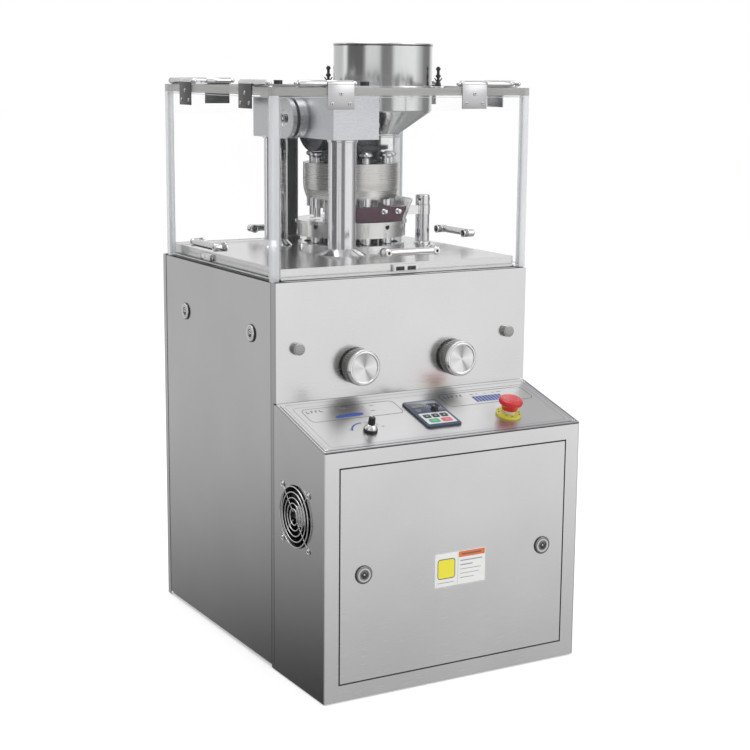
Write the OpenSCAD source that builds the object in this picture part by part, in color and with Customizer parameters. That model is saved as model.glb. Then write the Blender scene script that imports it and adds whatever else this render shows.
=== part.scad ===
// Rotary tablet press on a stainless cabinet, with a clear hinged guard round the turret.
// Frame: X to the viewer's right, Y towards the back, Z up. Origin: centre of the footprint, on the floor.

/* [Body] */
// Width of the cabinet
body_w = 480; // [478:0.5:482]
// Depth of the whole body
body_d = 630; // [628:0.5:632]
// Height of the body below the table plate
body_h = 647.5; // [645:0.5:650]
// Depth of the electrical cabinet from its front to the side seam
cabinet_d = 174; // [172:0.5:176]
// Height of the cabinet's front edge
cabinet_front_h = 407.6; // [400:0.2:410]
// Height at which the sloped panel meets the upper front
cabinet_rear_h = 452.2; // [450:0.2:456]
// Setback of the upper front from the cabinet's front
upper_setback = 165.4; // [164:0.2:167]
// Thickness of the sheet metal
sheet = 2; // [1.5:0.5:2]

/* [Electrical door] */
// Half width of the door
door_half_w = 211.5; // [205:0.5:212]
// Bottom edge of the door
door_low = 30.5; // [28:0.5:36]
// Top edge of the door
door_high = 377.5; // [370:0.5:380]
// Gap round the door
door_gap = 2.5; // [1:0.5:3]
// Height of the two locks
door_lock_z = 204.5; // [190:0.5:220]
// Distance of each lock from the middle
door_lock_x = 170; // [160:1:180]

/* [Locks] */
// Diameter of a lock's bezel
lock_bezel_d = 29; // [24:1:32]
// Diameter of the turning barrel
lock_barrel_d = 14; // [10:1:16]

/* [Turret] */
// Turret axis, from the middle of the body
turret_x = 43.5; // [43:0.5:44]
// Turret axis, behind the middle of the footprint
turret_y = 120; // [119:0.5:121]
// Number of punch stations
stations = 9; // [9:1:9]
// Radius of the circle that the punches stand on
pitch_r = 70; // [69.5:0.5:70]
// Diameter of a punch barrel
punch_d = 22; // [20:1:22]
// Diameter of a punch tip
tip_d = 12; // [8:1:12]
// Diameter of a punch head
head_d = 25; // [24:1:25]
// Radius of the die table
die_table_r = 100.5; // [99:0.5:101]
// Height of the die table's top face
die_top = 717; // [716.5:0.5:717.5]
// Radius of the upper drum
drum_r = 86.3; // [85:0.1:87]
// Height of the upper drum's top face
drum_top = 817.5; // [817:0.5:818]
// Radial clearance of a running shaft or punch
run_fit = 0.05; // [0.03:0.01:0.08]

/* [Pressure rolls] */
// Radius of each pressure roll
roll_r = 57.5; // [56:0.5:57.5]
// Width of each pressure roll
roll_w = 22; // [20:1:22]

/* [Guard] */
// Outer half width of the guard
guard_x = 242.2; // [241:0.1:243]
// Front face of the guard
guard_front = -142.7; // [-143:0.1:-142]
// Rear face of the guard
guard_rear = 289.6; // [288:0.1:290]
// Width of the guard's posts and rails
bar = 12; // [11:0.5:12]
// Underside of the top rail
rail_low = 939; // [938:0.5:940]
// Top of the top rail
rail_high = 951.8; // [951:0.1:952]
// Thickness of the clear doors
clear_t = 5; // [4:0.5:6]
// Bottom edge of the clear doors
clear_low = 652; // [651:0.5:654]

/* [Hopper] */
// Hopper axis, from the middle of the body
hopper_x = 136; // [135:0.5:136]
// Hopper axis, behind the middle of the footprint
hopper_y = 171; // [170:0.5:172]
// Outer radius of the hopper
hopper_r = 90; // [88:0.5:90]
// Height of the hopper's rim
hopper_top = 1026.5; // [1010:0.5:1040]

/* [Controls] */
// Distance of each handwheel from the middle
wheel_x = 93.5; // [90:0.5:96]
// Height of both handwheels
wheel_z = 503.5; // [500:0.5:506]
// Diameter of a handwheel
wheel_d = 61; // [56:1:64]

/* [Hidden] */
$fn = 96;
eps = 0.01;

// Body planes
side_x = body_w / 2;
front_y = -body_d / 2;
back_y = body_d / 2;
upper_y = front_y + upper_setback;
seam_y = front_y + cabinet_d;
panel_z = 2;
slope = atan2(cabinet_rear_h - cabinet_front_h, upper_setback);
strip_rear = seam_y + 10;
side_panel_front = strip_rear + 2;
side_panel_rear = back_y - 14;
side_lock_z = 554.5;
side_lock_y = [-57.5, 213];

// Inner frame
base_t = 20;
anchor_x = 190;
anchor_y = 260;
anchor_r = 7;
upright = 36;
deck_t = 16;
low_deck_z = 300;
high_deck_z = 440;
top_deck_z = 627;
deck_front = -120;
deck_rear = 306;
collar_r = 96;
collar_bore_r = 84;
collar_top = 676;
table_low = 648.6;
table_top = 666.6;

// Turret stack
station_angles = [for (i = [0 : stations - 1]) 182 + i * 360 / stations];
shaft_r = 22;
journal_r = 15;
core_r = 48;
drum_low = 755;
die_table_t = 28;
die_r = 13;
die_h = 22;
lower_drum_r = 82.5;
lower_drum_top = 674;
lower_drum_low = 625;
punch_len = 115;
tip_len = 16;
lift = 5.4;
upper_tip_z = die_top + lift;
upper_head_z = upper_tip_z + punch_len;
lower_tip_z = die_top - 7;
lower_head_z = lower_tip_z - punch_len;
head_gap = 0.5;

// Rolls and head
roll_x = turret_x - pitch_r;
upper_roll_z = upper_head_z + head_gap + roll_r;
lower_roll_z = lower_head_z - head_gap - roll_r;
roll_pin_r = 15;
carrier_pin_r = 10;
head_left = -68;
head_right = 19.7;
head_front = -20;
head_rear = 262;
head_low = 863;
head_high = 953;
slot_front = 58;
slot_rear = 182;
slot_gap = 2.5;
arm_out = -90;
arm_t = 8;
arm_r = 35;
arm_rear = 245;
column_1 = [-31, 17];
column_2 = [-68, 199];
column_3 = [-16, 242];
column_r = [24.5, 21, 13];

// Drive line
worm_wheel_r = 84;
worm_r = 17.5;
worm_gap = 0.5;
worm_x = turret_x + worm_wheel_r + worm_gap + worm_r;
worm_z = 347.5;
worm_wheel_low = 332;
worm_wheel_high = 363;
motor_z = 110;
motor_r = 65;
pulley_r = [50, 25];
pulley_y = [250, 270];

// Fan in the left side of the cabinet
fan_y = -219.5;
fan_z = 283.5;
fan_bore_r = 50;
fan_w = 106;
fan_hole = 44.5;

// Hinges: offset of the barrel axis from the rail's outer face, and its height
barrel_in = 3.5;
barrel_z = 958;
barrel_r = 5.5;
pin_r = 2.5;
leaf_w = 48;
leaf_low = 917.5;
leaf_t = 2;
proud = 0.5;
handle_half = 46;
handle_z = 687;
side_mid = (guard_front + guard_rear) / 2;
front_leaves = [-121.5, 130.5];
rear_leaves = [-140, 140];
left_leaves = [side_mid - 193.3, side_mid + 48.5];
right_leaves = [-37.5 - side_mid, 184 - side_mid];

// A box between two corners
module span(a, b) {
    translate(a) cube(b - a);
}

// A straight round bar along X, Y or Z
module bar_x(r, x0, x1, y, z) {
    translate([x0, y, z]) rotate([0, 90, 0]) cylinder(r = r, h = x1 - x0);
}

module bar_y(r, y0, y1, x, z) {
    translate([x, y0, z]) rotate([-90, 0, 0]) cylinder(r = r, h = y1 - y0);
}

module bar_z(r, z0, z1, x, y) {
    translate([x, y, z0]) cylinder(r = r, h = z1 - z0);
}

// Places its children on the turret axis
module on_turret() {
    translate([turret_x, turret_y, 0]) children();
}

// Places its children at every punch station
module at_stations() {
    on_turret() for (a = station_angles) rotate(a) translate([pitch_r, 0, 0]) children();
}

// A flat ring sector round the turret axis
module sector(r0, r1, a0, a1, z0, z1) {
    on_turret() translate([0, 0, z0]) rotate(a0)
        rotate_extrude(angle = a1 - a0) translate([r0, 0]) square([r1 - r0, z1 - z0]);
}

// Places its children on the sloped panel: x across, s up the slope, z out of it
module on_slope(x, s) {
    translate([x, front_y, cabinet_front_h]) rotate([slope, 0, 0]) translate([0, s, 0]) children();
}

// ---------- Inner frame ----------

module base_frame() {
    color("dimgray") difference() {
        union() {
            span([-232, front_y + 8, 0], [232, back_y - 8, base_t]);
            for (x = [-232, 232 - upright], y = [deck_front, deck_rear - upright])
                span([x, y, base_t - eps], [x + upright, y + upright, top_deck_z]);
            for (z = [low_deck_z, high_deck_z])
                span([-232, deck_front, z], [232, deck_rear, z + deck_t]);
            bar_z(38, low_deck_z - 32, low_deck_z + eps, turret_x, turret_y);
            for (y = [[-50, -25], [215, 240]])
                span([worm_x - 22, y[0], low_deck_z + deck_t - eps], [worm_x + 22, y[1], worm_z + 24]);
        }
        for (x = [-anchor_x, anchor_x], y = [-anchor_y, anchor_y])
            bar_z(anchor_r, -1, base_t + 1, x, y);
        bar_z(shaft_r - 2 + run_fit, low_deck_z - 33, low_deck_z + deck_t + 1, turret_x, turret_y);
        bar_z(62, high_deck_z - 1, high_deck_z + deck_t + 1, turret_x, turret_y);
        bar_y(12 + run_fit, -51, 241, worm_x, worm_z);
        bar_z(8 + run_fit, high_deck_z - 1, high_deck_z + deck_t + 1, roll_x - 26, turret_y);
        dosing_stem(10 + run_fit, high_deck_z - 1, high_deck_z + deck_t + 1);
        // Belt window through the lower deck
        span([worm_x - 62, pulley_y[0] - 6, low_deck_z - 1],
            [worm_x + 62, pulley_y[1] + 6, low_deck_z + deck_t + 1]);
    }
}

module top_deck() {
    color("silver") difference() {
        union() {
            span([-236, upper_y + 3.6, top_deck_z], [236, back_y - 3, body_h]);
            bar_z(collar_r, body_h - eps, collar_top, turret_x, turret_y);
        }
        bar_z(collar_bore_r, top_deck_z - 1, collar_top + 1, turret_x, turret_y);
        for (c = [column_1, column_2, column_3])
            bar_z(9, top_deck_z - 1, body_h + 1, c[0], c[1]);
    }
}

module table_plate() {
    color("gainsboro") difference() {
        span([-222.8, -133.2, table_low], [222.8, 312.9, table_top]);
        bar_z(collar_r + 0.5, table_low - 1, table_top + 1, turret_x, turret_y);
        for (c = [column_1, column_2, column_3])
            bar_z(9, table_low - 1, table_top + 1, c[0], c[1]);
    }
}

// ---------- Sheet-metal body ----------

module upper_front_panel() {
    color("silver") difference() {
        union() {
            span([-side_x, upper_y, cabinet_rear_h + 0.3], [side_x, upper_y + sheet, body_h - 0.5]);
            // Corner strips, which run down to the floor behind the cabinet's sides
            for (x = [-side_x, side_x - sheet]) {
                span([x, upper_y, cabinet_rear_h + 0.3], [x + sheet, strip_rear, body_h - 0.5]);
                span([x, seam_y + 0.5, panel_z], [x + sheet, strip_rear, cabinet_rear_h + 1]);
            }
            for (x = [-202, 202]) {
                bar_y(10, upper_y - 9, upper_y + eps, x, 539.5);
                bar_y(3, upper_y, upper_y + 12, x, 539.5);
            }
        }
        for (x = [-wheel_x, wheel_x])
            bar_y(8 + run_fit, upper_y - 1, upper_y + sheet + 1, x, wheel_z);
    }
}

module rear_panel() {
    color("silver") difference() {
        union() {
            span([-side_x, back_y - sheet, panel_z], [side_x, back_y, body_h - 0.5]);
            for (s = [-1, 1])
                translate([s * (side_x - sheet / 2) - sheet / 2, side_panel_rear + 2, panel_z])
                    cube([sheet, 12, body_h - 0.5 - panel_z]);
            // Cable inlet boss
            bar_y(13, back_y - eps, back_y + 4.5, -150, 90);
        }
        bar_y(7, back_y - sheet - 1, back_y + 6, -150, 90);
        for (i = [0 : 6])
            span([-60, back_y - sheet - 1, 470 + i * 16], [60, back_y + 1, 475 + i * 16]);
    }
}

// A bezel with a hole for the turning barrel, facing -X or -Y after rotation
module lock_bezel() {
    cylinder(r1 = lock_bezel_d / 2, r2 = lock_bezel_d / 2 - 1.5, h = 3);
}

// Turning barrel with a key slot outside and a cam bar inside
module lock_barrel() {
    difference() {
        translate([0, 0, -9]) cylinder(r = lock_barrel_d / 2, h = 11.5);
        translate([-4.5, -1, 1]) cube([9, 2, 3]);
    }
    translate([-5, -5, -11]) cube([26, 10, 2]);
}

module side_sheet(x) {
    span([x, side_panel_front, 8], [x + sheet, side_panel_rear, body_h - 2]);
}

module left_side_panel() {
    color("darkgray") difference() {
        union() {
            side_sheet(-side_x + 0.5);
            for (y = side_lock_y)
                translate([-side_x + 0.5, y, side_lock_z]) rotate([0, -90, 0]) lock_bezel();
        }
        for (y = side_lock_y)
            bar_x(lock_barrel_d / 2 + run_fit, -side_x - 4, -side_x + 5, y, side_lock_z);
    }
}

module left_lock_front() {
    color("dimgray") translate([-side_x + 0.5, side_lock_y[0], side_lock_z])
        rotate([0, -90, 0]) lock_barrel();
}

module left_lock_rear() {
    color("dimgray") translate([-side_x + 0.5, side_lock_y[1], side_lock_z])
        rotate([0, -90, 0]) lock_barrel();
}

module right_side_panel() {
    color("darkgray") {
        side_sheet(side_x - 0.5 - sheet);
        for (y = [side_panel_front + 16, side_panel_rear - 16], z = [24, 330, body_h - 18])
            bar_x(4.5, side_x - 0.5 - eps, side_x + 1.3, y, z);
    }
}

// Side of the electrical cabinet, as a sheet in the YZ plane
module cabinet_side(x) {
    drop = sheet / cos(slope);
    points = [
        [front_y, panel_z], [seam_y - 0.5, panel_z], [seam_y - 0.5, cabinet_rear_h - drop],
        [upper_y, cabinet_rear_h - drop - 0.3], [front_y, cabinet_front_h - drop - 0.3]
    ];
    translate([x, 0, 0]) rotate([90, 0, 90]) linear_extrude(sheet) polygon(points);
}

module cabinet_sides() {
    color("silver") difference() {
        union() {
            cabinet_side(-side_x);
            cabinet_side(side_x - sheet);
        }
        bar_x(fan_bore_r + 1, -side_x - 1, -side_x + sheet + 1, fan_y, fan_z);
        for (y = [-1, 1], z = [-1, 1])
            bar_x(2.2, -side_x - 1, -side_x + sheet + 1, fan_y + y * fan_hole, fan_z + z * fan_hole);
        for (i = [0 : 5])
            span([side_x - sheet - 1, -270, 120 + i * 18], [side_x + 1, -190, 126 + i * 18]);
    }
}

module cabinet_frame() {
    inner = side_x - sheet;
    color("silver") difference() {
        union() {
            span([-inner, front_y, panel_z], [inner, front_y + sheet, cabinet_front_h - 3]);
            span([-inner, front_y + sheet - eps, base_t], [inner, seam_y - 1, base_t + sheet]);
            // Folded return round the door opening
            span([-door_half_w - 8, front_y + sheet - eps, door_low - 8],
                 [door_half_w + 8, front_y + 24, door_high + 8]);
        }
        span([-door_half_w - door_gap, front_y - 1, door_low - door_gap],
             [door_half_w + door_gap, front_y + 30, door_high + door_gap]);
    }
}

module electrical_door() {
    color("gainsboro") difference() {
        union() {
            difference() {
                span([-door_half_w, front_y, door_low], [door_half_w, front_y + 16, door_high]);
                span([-door_half_w + sheet, front_y + sheet, door_low + sheet],
                     [door_half_w - sheet, front_y + 17, door_high - sheet]);
            }
            for (x = [-door_lock_x, door_lock_x])
                translate([x, front_y + eps, door_lock_z]) rotate([90, 0, 0]) lock_bezel();
        }
        for (x = [-door_lock_x, door_lock_x])
            bar_y(lock_barrel_d / 2 + run_fit, front_y - 4, front_y + 5, x, door_lock_z);
    }
}

module door_lock_left() {
    color("dimgray") translate([-door_lock_x, front_y, door_lock_z]) rotate([90, 0, 0]) lock_barrel();
}

module door_lock_right() {
    color("dimgray") translate([door_lock_x, front_y, door_lock_z]) rotate([90, 180, 0]) lock_barrel();
}

// ---------- Controls ----------

knob_at = [-132, 51];
estop_at = [132, 53];
keypad_at = [-1, 81];
keypad_w = 64;
keypad_l = 89;
dial_at = [9, 90];

module control_panel() {
    color("silver") difference() {
        union() {
            on_slope(0, 0) translate([-side_x, 0, -sheet])
                cube([body_w, upper_setback / cos(slope) - 0.3, sheet]);
            on_slope(estop_at[0], estop_at[1]) translate([0, 0, -eps]) cylinder(r = 21.5, h = 4);
        }
        on_slope(knob_at[0], knob_at[1]) translate([0, 0, -3]) cylinder(r = 3 + run_fit, h = 4);
        on_slope(estop_at[0], estop_at[1]) translate([0, 0, -3]) cylinder(r = 10 + run_fit, h = 8);
        on_slope(keypad_at[0], keypad_at[1]) translate([-26, -38, -3]) cube([52, 76, 4]);
        // The plate's rear edge stops short of the upper front
        span([-side_x - 1, upper_y - 0.3, 400], [side_x + 1, upper_y + 9, 460]);
    }
}

module inverter() {
    color("midnightblue") on_slope(keypad_at[0], keypad_at[1]) difference() {
        union() {
            translate([-keypad_w / 2, -keypad_l / 2, 0]) cube([keypad_w, keypad_l, 4]);
            translate([-25.5, -37.5, -110]) cube([51, 75, 110 + eps]);
        }
        translate([dial_at[0] - keypad_at[0], dial_at[1] - keypad_at[1], -5])
            cylinder(r = 2 + run_fit, h = 12);
    }
}

module keypad_dial() {
    color("black") on_slope(dial_at[0], dial_at[1]) {
        translate([0, 0, 4.3]) cylinder(r = 6, h = 6);
        translate([0, 0, -3]) cylinder(r = 2, h = 8);
    }
}

module speed_knob() {
    color("black") on_slope(knob_at[0], knob_at[1]) {
        translate([0, 0, 0.4]) cylinder(r = 11.5, h = 4.6);
        translate([0, 0, 4.9]) cylinder(r1 = 10.5, r2 = 6.5, h = 7.2);
        translate([0, 0, 12]) cylinder(r = 5.5, h = 12.5);
        translate([0, 0, -18]) cylinder(r = 3, h = 19);
    }
}

module estop_button() {
    color("red") on_slope(estop_at[0], estop_at[1]) {
        translate([0, 0, -26]) cylinder(r = 10, h = 38);
        translate([0, 0, 9.4]) cylinder(r1 = 13, r2 = 15.5, h = 8.7);
        translate([0, 0, 18]) cylinder(r1 = 18.5, r2 = 20, h = 4);
        translate([0, 0, 21.9]) cylinder(r = 20, h = 4.5);
        translate([0, 0, 26.3]) cylinder(r1 = 20, r2 = 13, h = 3.2);
    }
}

// Handwheel with a knurled rim and a shaft through the front
module handwheel(x, shaft_end) {
    r = wheel_d / 2;
    translate([x, upper_y, wheel_z]) rotate([90, 0, 0]) {
        difference() {
            union() {
                translate([0, 0, 1]) cylinder(r = r - 6, h = 6);
                translate([0, 0, 6]) cylinder(r = r, h = 20);
                translate([0, 0, 25.9]) cylinder(r1 = r, r2 = r - 3, h = 4);
            }
            translate([0, 0, 28]) cylinder(r = r - 7, h = 3);
        }
        translate([0, 0, 27]) cylinder(r = 7, h = 3.4);
    }
    bar_y(8, upper_y - 2, shaft_end, x, wheel_z);
}

module filling_handwheel() {
    color("lightgray") handwheel(-wheel_x, -40);
}

module pressure_handwheel() {
    color("lightgray") handwheel(wheel_x, -40);
}

// ---------- Cooling fan ----------

module fan_housing() {
    x0 = -side_x + sheet;
    color("black") {
        difference() {
            span([x0, fan_y - fan_w / 2, fan_z - fan_w / 2], [x0 + 36, fan_y + fan_w / 2, fan_z + fan_w / 2]);
            bar_x(fan_bore_r, x0 - 1, x0 + 37, fan_y, fan_z);
        }
        // Motor hub held by four struts at the back
        bar_x(20, x0 + 30, x0 + 36, fan_y, fan_z);
        for (a = [45 : 90 : 315])
            translate([x0 + 33, fan_y, fan_z]) rotate([a, 0, 0]) translate([-3, 19, -3]) cube([6, 33, 6]);
        // Finger guard: wire rings on cross wires, held by the four corner screws
        for (r = [13, 22, 31, 40, 49])
            difference() {
                bar_x(r + 1, -side_x - 4.5, -side_x - 2.5, fan_y, fan_z, $fn = 48);
                bar_x(r - 1, -side_x - 5, -side_x - 2, fan_y, fan_z, $fn = 48);
            }
        for (a = [45 : 90 : 315])
            translate([-side_x - 2.9, fan_y, fan_z]) rotate([a, 0, 0])
                translate([0, 11, -1]) cube([1.6, 51, 2]);
        for (y = [-1, 1], z = [-1, 1]) {
            bar_x(4.5, -side_x - 3.5, -side_x, fan_y + y * fan_hole, fan_z + z * fan_hole);
            bar_x(1.8, -side_x - 1, x0 + 1, fan_y + y * fan_hole, fan_z + z * fan_hole);
        }
    }
}

module fan_rotor() {
    x0 = -side_x + 8;
    color("dimgray") {
        bar_x(19, x0, x0 + 21, fan_y, fan_z);
        for (i = [0 : 6])
            translate([x0 + 10.5, fan_y, fan_z]) rotate([i * 360 / 7, 0, 0])
                translate([0, 17, 0]) rotate([0, 32, 0]) translate([-1, 0, -13]) cube([2, 30, 26]);
    }
}

// ---------- Head and columns ----------

module column(at, r, top, foot_r) {
    difference() {
        translate([at[0], at[1], table_top]) cylinder(r1 = foot_r, r2 = r, h = 10);
        // The foot stops short of the collar round the turret
        bar_z(collar_r + 0.5, table_top - 1, collar_top + 1, turret_x, turret_y);
    }
    bar_z(r, table_top, top, at[0], at[1]);
    bar_z(8.9, top_deck_z + 2, table_top + 1, at[0], at[1]);
}

module columns() {
    color("lightgray") {
        column(column_1, column_r[0], head_low, 43);
        column(column_2, column_r[1], head_low, 30);
        column(column_3, column_r[2], head_low, 17);
    }
}

module head_casting() {
    slot_half = roll_w / 2 + slot_gap;
    arm_in = arm_out + arm_t;
    color("silver") difference() {
        union() {
            span([head_left, head_front, head_low], [head_right, head_rear, head_high]);
            // Side arm round the roll shaft, carried on a spacer at the back
            hull() {
                bar_x(arm_r, arm_out, arm_in, turret_y, upper_roll_z);
                span([arm_out, arm_rear - 2, upper_roll_z - arm_r], [arm_in, arm_rear, upper_roll_z + arm_r]);
            }
            span([arm_in - eps, 170, head_low], [head_left + eps, arm_rear, upper_roll_z + arm_r]);
            // Boss with a neck between it and the arm
            bar_x(arm_r - 8, arm_in - eps, head_left + eps, turret_y, upper_roll_z);
            bar_x(arm_r, arm_in + 6, head_left + eps, turret_y, upper_roll_z);
        }
        span([roll_x - slot_half, slot_front, head_low - 1], [roll_x + slot_half, slot_rear, head_high + 1]);
        bar_x(roll_pin_r, arm_out - 1, head_right + 1, turret_y, upper_roll_z);
        bar_z(column_r[1], head_low - 9, head_low, column_2[0], column_2[1]);
    }
}

module roll_shaft() {
    color("gray") {
        bar_x(roll_pin_r, arm_out + 1, head_right + 1, turret_y, upper_roll_z);
        bar_x(7, arm_out - 3, arm_out + 1.01, turret_y, upper_roll_z);
    }
}

// A pressure roll with a lightening groove in each face
module roll(z, bore_r) {
    difference() {
        bar_x(roll_r, roll_x - roll_w / 2, roll_x + roll_w / 2, turret_y, z);
        bar_x(bore_r + run_fit, roll_x - roll_w, roll_x + roll_w, turret_y, z);
        for (s = [-1, 1])
            translate([roll_x + s * roll_w / 2, turret_y, z]) rotate([0, 90, 0]) difference() {
                cylinder(r = roll_r - 8, h = 4, center = true);
                cylinder(r = bore_r + 10, h = 5, center = true);
            }
    }
}

module upper_roll() {
    color("dimgray") roll(upper_roll_z, roll_pin_r);
}

module lower_roll() {
    color("dimgray") roll(lower_roll_z, carrier_pin_r);
}

module roll_carrier() {
    half = roll_w / 2;
    color("slategray") {
        difference() {
            union() {
                for (s = [-1, 1])
                    translate([roll_x + s * (half + 5) - 3.5, turret_y - 20, lower_roll_z - 64])
                        cube([7, 40, 80]);
                translate([roll_x - half - 8.5, turret_y - 20, lower_roll_z - 70])
                    cube([2 * half + 17, 40, 7]);
                span([roll_x - 34, turret_y - 8, lower_roll_z - 70],
                    [roll_x - 15, turret_y + 8, lower_roll_z - 63]);
            }
        }
        bar_x(carrier_pin_r, roll_x - half - 9, roll_x + half + 9, turret_y, lower_roll_z);
        bar_z(8, high_deck_z - 12, lower_roll_z - 69, roll_x - 26, turret_y);
    }
}

module upper_cam() {
    lip_low = drum_top + 2;
    color("slategray") difference() {
        union() {
            on_turret() translate([0, 0, lip_low]) cylinder(r = 53, h = head_low - lip_low);
            on_turret() translate([0, 0, lip_low]) cylinder(r = 60.5, h = 4.5);
            on_turret() translate([0, 0, upper_head_z + 3.6]) cylinder(r = 66, h = 7);
        }
        on_turret() translate([0, 0, lip_low - 1]) cylinder(r = journal_r + run_fit, h = 60);
        span([-70, slot_front + 3, lip_low - 1], [roll_x + roll_w / 2 + 3, slot_rear - 3, head_low + 1]);
    }
}

module lower_cam() {
    top = lower_head_z - 0.6;
    color("slategray") {
        sector(57, 83, -30, 125, top - 14, top);
        for (a = [-25, 50, 118])
            on_turret() rotate(a) translate([78, 0, high_deck_z + deck_t - eps])
                cylinder(r = 6, h = top - 13 - high_deck_z - deck_t);
    }
}

module dosing_stem(r, z0, z1) {
    on_turret() rotate(265) translate([pitch_r, 0, z0]) cylinder(r = r, h = z1 - z0);
}

module dosing_cam() {
    top = lower_head_z - 0.6;
    color("goldenrod") {
        sector(57, 83, 222, 318, top - 14, top);
        dosing_stem(10, high_deck_z - 20, top - 13);
    }
}

// ---------- Turret ----------

module upper_drum() {
    color("silver") difference() {
        union() {
            // The rim draws in towards its lower edge in three steps of slope
            on_turret() translate([0, 0, drum_low]) cylinder(r1 = drum_r - 6.5, r2 = drum_r - 3.5, h = 7);
            on_turret() translate([0, 0, drum_low + 7 - eps])
                cylinder(r1 = drum_r - 3.5, r2 = drum_r - 1, h = 9);
            on_turret() translate([0, 0, drum_low + 16 - 2 * eps])
                cylinder(r1 = drum_r - 1, r2 = drum_r, h = 12);
            on_turret() translate([0, 0, drum_low + 28 - 3 * eps])
                cylinder(r = drum_r, h = drum_top - drum_low - 28 + 3 * eps);
            on_turret() translate([0, 0, die_top]) cylinder(r = core_r, h = drum_low - die_top + eps);
        }
        at_stations() translate([0, 0, drum_low - 1]) cylinder(r = punch_d / 2 + run_fit, h = 70);
        on_turret() translate([0, 0, die_top - 1]) cylinder(r = shaft_r, h = 110);
    }
}

module die_table() {
    low = die_top - die_table_t;
    color("lightgray") difference() {
        union() {
            on_turret() translate([0, 0, low]) cylinder(r = die_table_r - 2.5, h = die_table_t);
            on_turret() translate([0, 0, die_top - 6]) cylinder(r = die_table_r, h = 6);
        }
        at_stations() translate([0, 0, die_top - die_h]) cylinder(r = die_r, h = die_h + 1);
        at_stations() translate([0, 0, low - 1]) cylinder(r = tip_d / 2 + 0.5, h = die_table_t);
        // Radial holes for the lock screws, each between two dies
        on_turret() for (a = station_angles) rotate(a + 180 / stations)
            translate([die_table_r - 18, 0, die_top - 9])
            rotate([0, 90, 0]) cylinder(r = 4, h = 20);
        on_turret() translate([0, 0, low - 1]) cylinder(r = shaft_r, h = die_table_t + 2);
    }
}

module lower_drum() {
    color("dimgray") difference() {
        union() {
            on_turret() translate([0, 0, lower_drum_low])
                cylinder(r = lower_drum_r, h = lower_drum_top - lower_drum_low);
            on_turret() translate([0, 0, lower_drum_low - 25]) cylinder(r = 40, h = 26);
            on_turret() translate([0, 0, lower_drum_top - eps])
                cylinder(r = core_r, h = die_top - die_table_t - lower_drum_top + eps);
        }
        at_stations() translate([0, 0, lower_drum_low - 1]) cylinder(r = punch_d / 2 + run_fit, h = 60);
        on_turret() translate([0, 0, lower_drum_low - 26]) cylinder(r = shaft_r, h = 100);
    }
}

module dies() {
    color("gainsboro") at_stations() translate([0, 0, die_top - die_h]) difference() {
        cylinder(r = die_r - 0.05, h = die_h);
        translate([0, 0, -1]) cylinder(r = tip_d / 2 + run_fit, h = die_h + 2);
    }
}

// One punch with its tip at z = 0, pointing down
module punch() {
    barrel_top = punch_len - 20;
    cylinder(r = tip_d / 2, h = tip_len + eps);
    translate([0, 0, tip_len]) cylinder(r = punch_d / 2, h = barrel_top - tip_len);
    translate([0, 0, barrel_top - eps]) cylinder(r = 7, h = 11);
    translate([0, 0, barrel_top + 9.5]) cylinder(r1 = 7, r2 = head_d / 2, h = 4);
    translate([0, 0, barrel_top + 13.4]) cylinder(r = head_d / 2, h = 3.6);
    translate([0, 0, barrel_top + 16.9]) cylinder(r1 = head_d / 2, r2 = 8, h = 3.1);
}

module upper_punches() {
    color("gainsboro") at_stations() translate([0, 0, upper_tip_z]) punch();
}

// The lower tips are longer, because they stay inside the dies
module lower_punches() {
    extra = 6;
    color("gainsboro") at_stations() translate([0, 0, lower_tip_z]) mirror([0, 0, 1]) {
        difference() {
            punch();
            translate([0, 0, tip_len - 1]) difference() {
                cylinder(r = punch_d, h = extra + 1);
                translate([0, 0, -1]) cylinder(r = tip_d / 2, h = extra + 3);
            }
        }
    }
}

module main_shaft() {
    color("gray") {
        bar_z(shaft_r - 2, low_deck_z - 40, worm_wheel_low - 10, turret_x, turret_y);
        bar_z(shaft_r, worm_wheel_low - 10 - eps, drum_top + 1, turret_x, turret_y);
        bar_z(journal_r, drum_top, head_low - 2, turret_x, turret_y);
    }
}

// ---------- Drive ----------

module worm_wheel() {
    color("darkgoldenrod") difference() {
        union() {
            bar_z(worm_wheel_r, worm_wheel_low, worm_wheel_high, turret_x, turret_y);
            bar_z(36, worm_wheel_low - 8, worm_wheel_high + 14, turret_x, turret_y);
        }
        bar_z(shaft_r, worm_wheel_low - 9, worm_wheel_high + 15, turret_x, turret_y);
        on_turret() for (a = [0 : 60 : 300]) rotate(a) translate([58, 0, worm_wheel_low - 1])
            cylinder(r = 12, h = 40);
    }
}

// A plain pulley along Y
module pulley(r, x, z) {
    bar_y(r, pulley_y[0], pulley_y[1], x, z);
}

module worm_shaft() {
    color("gray") {
        bar_y(12, -60, pulley_y[1] + 8, worm_x, worm_z);
        bar_y(worm_r, turret_y - 45, turret_y + 45, worm_x, worm_z);
        pulley(pulley_r[0], worm_x, worm_z);
    }
}

module motor() {
    color("steelblue") {
        bar_y(motor_r, 0, 200, worm_x, motor_z);
        bar_y(motor_r + 3, -22, 0, worm_x, motor_z);
        span([worm_x - 50, 20, base_t], [worm_x + 50, 180, motor_z - 40]);
        span([worm_x - 78, 70, motor_z - 22], [worm_x - motor_r + 4, 150, motor_z + 32]);
    }
}

module motor_pulley() {
    color("gray") {
        bar_y(10, 200.5, pulley_y[1] + 6, worm_x, motor_z);
        pulley(pulley_r[1], worm_x, motor_z);
    }
}

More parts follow.
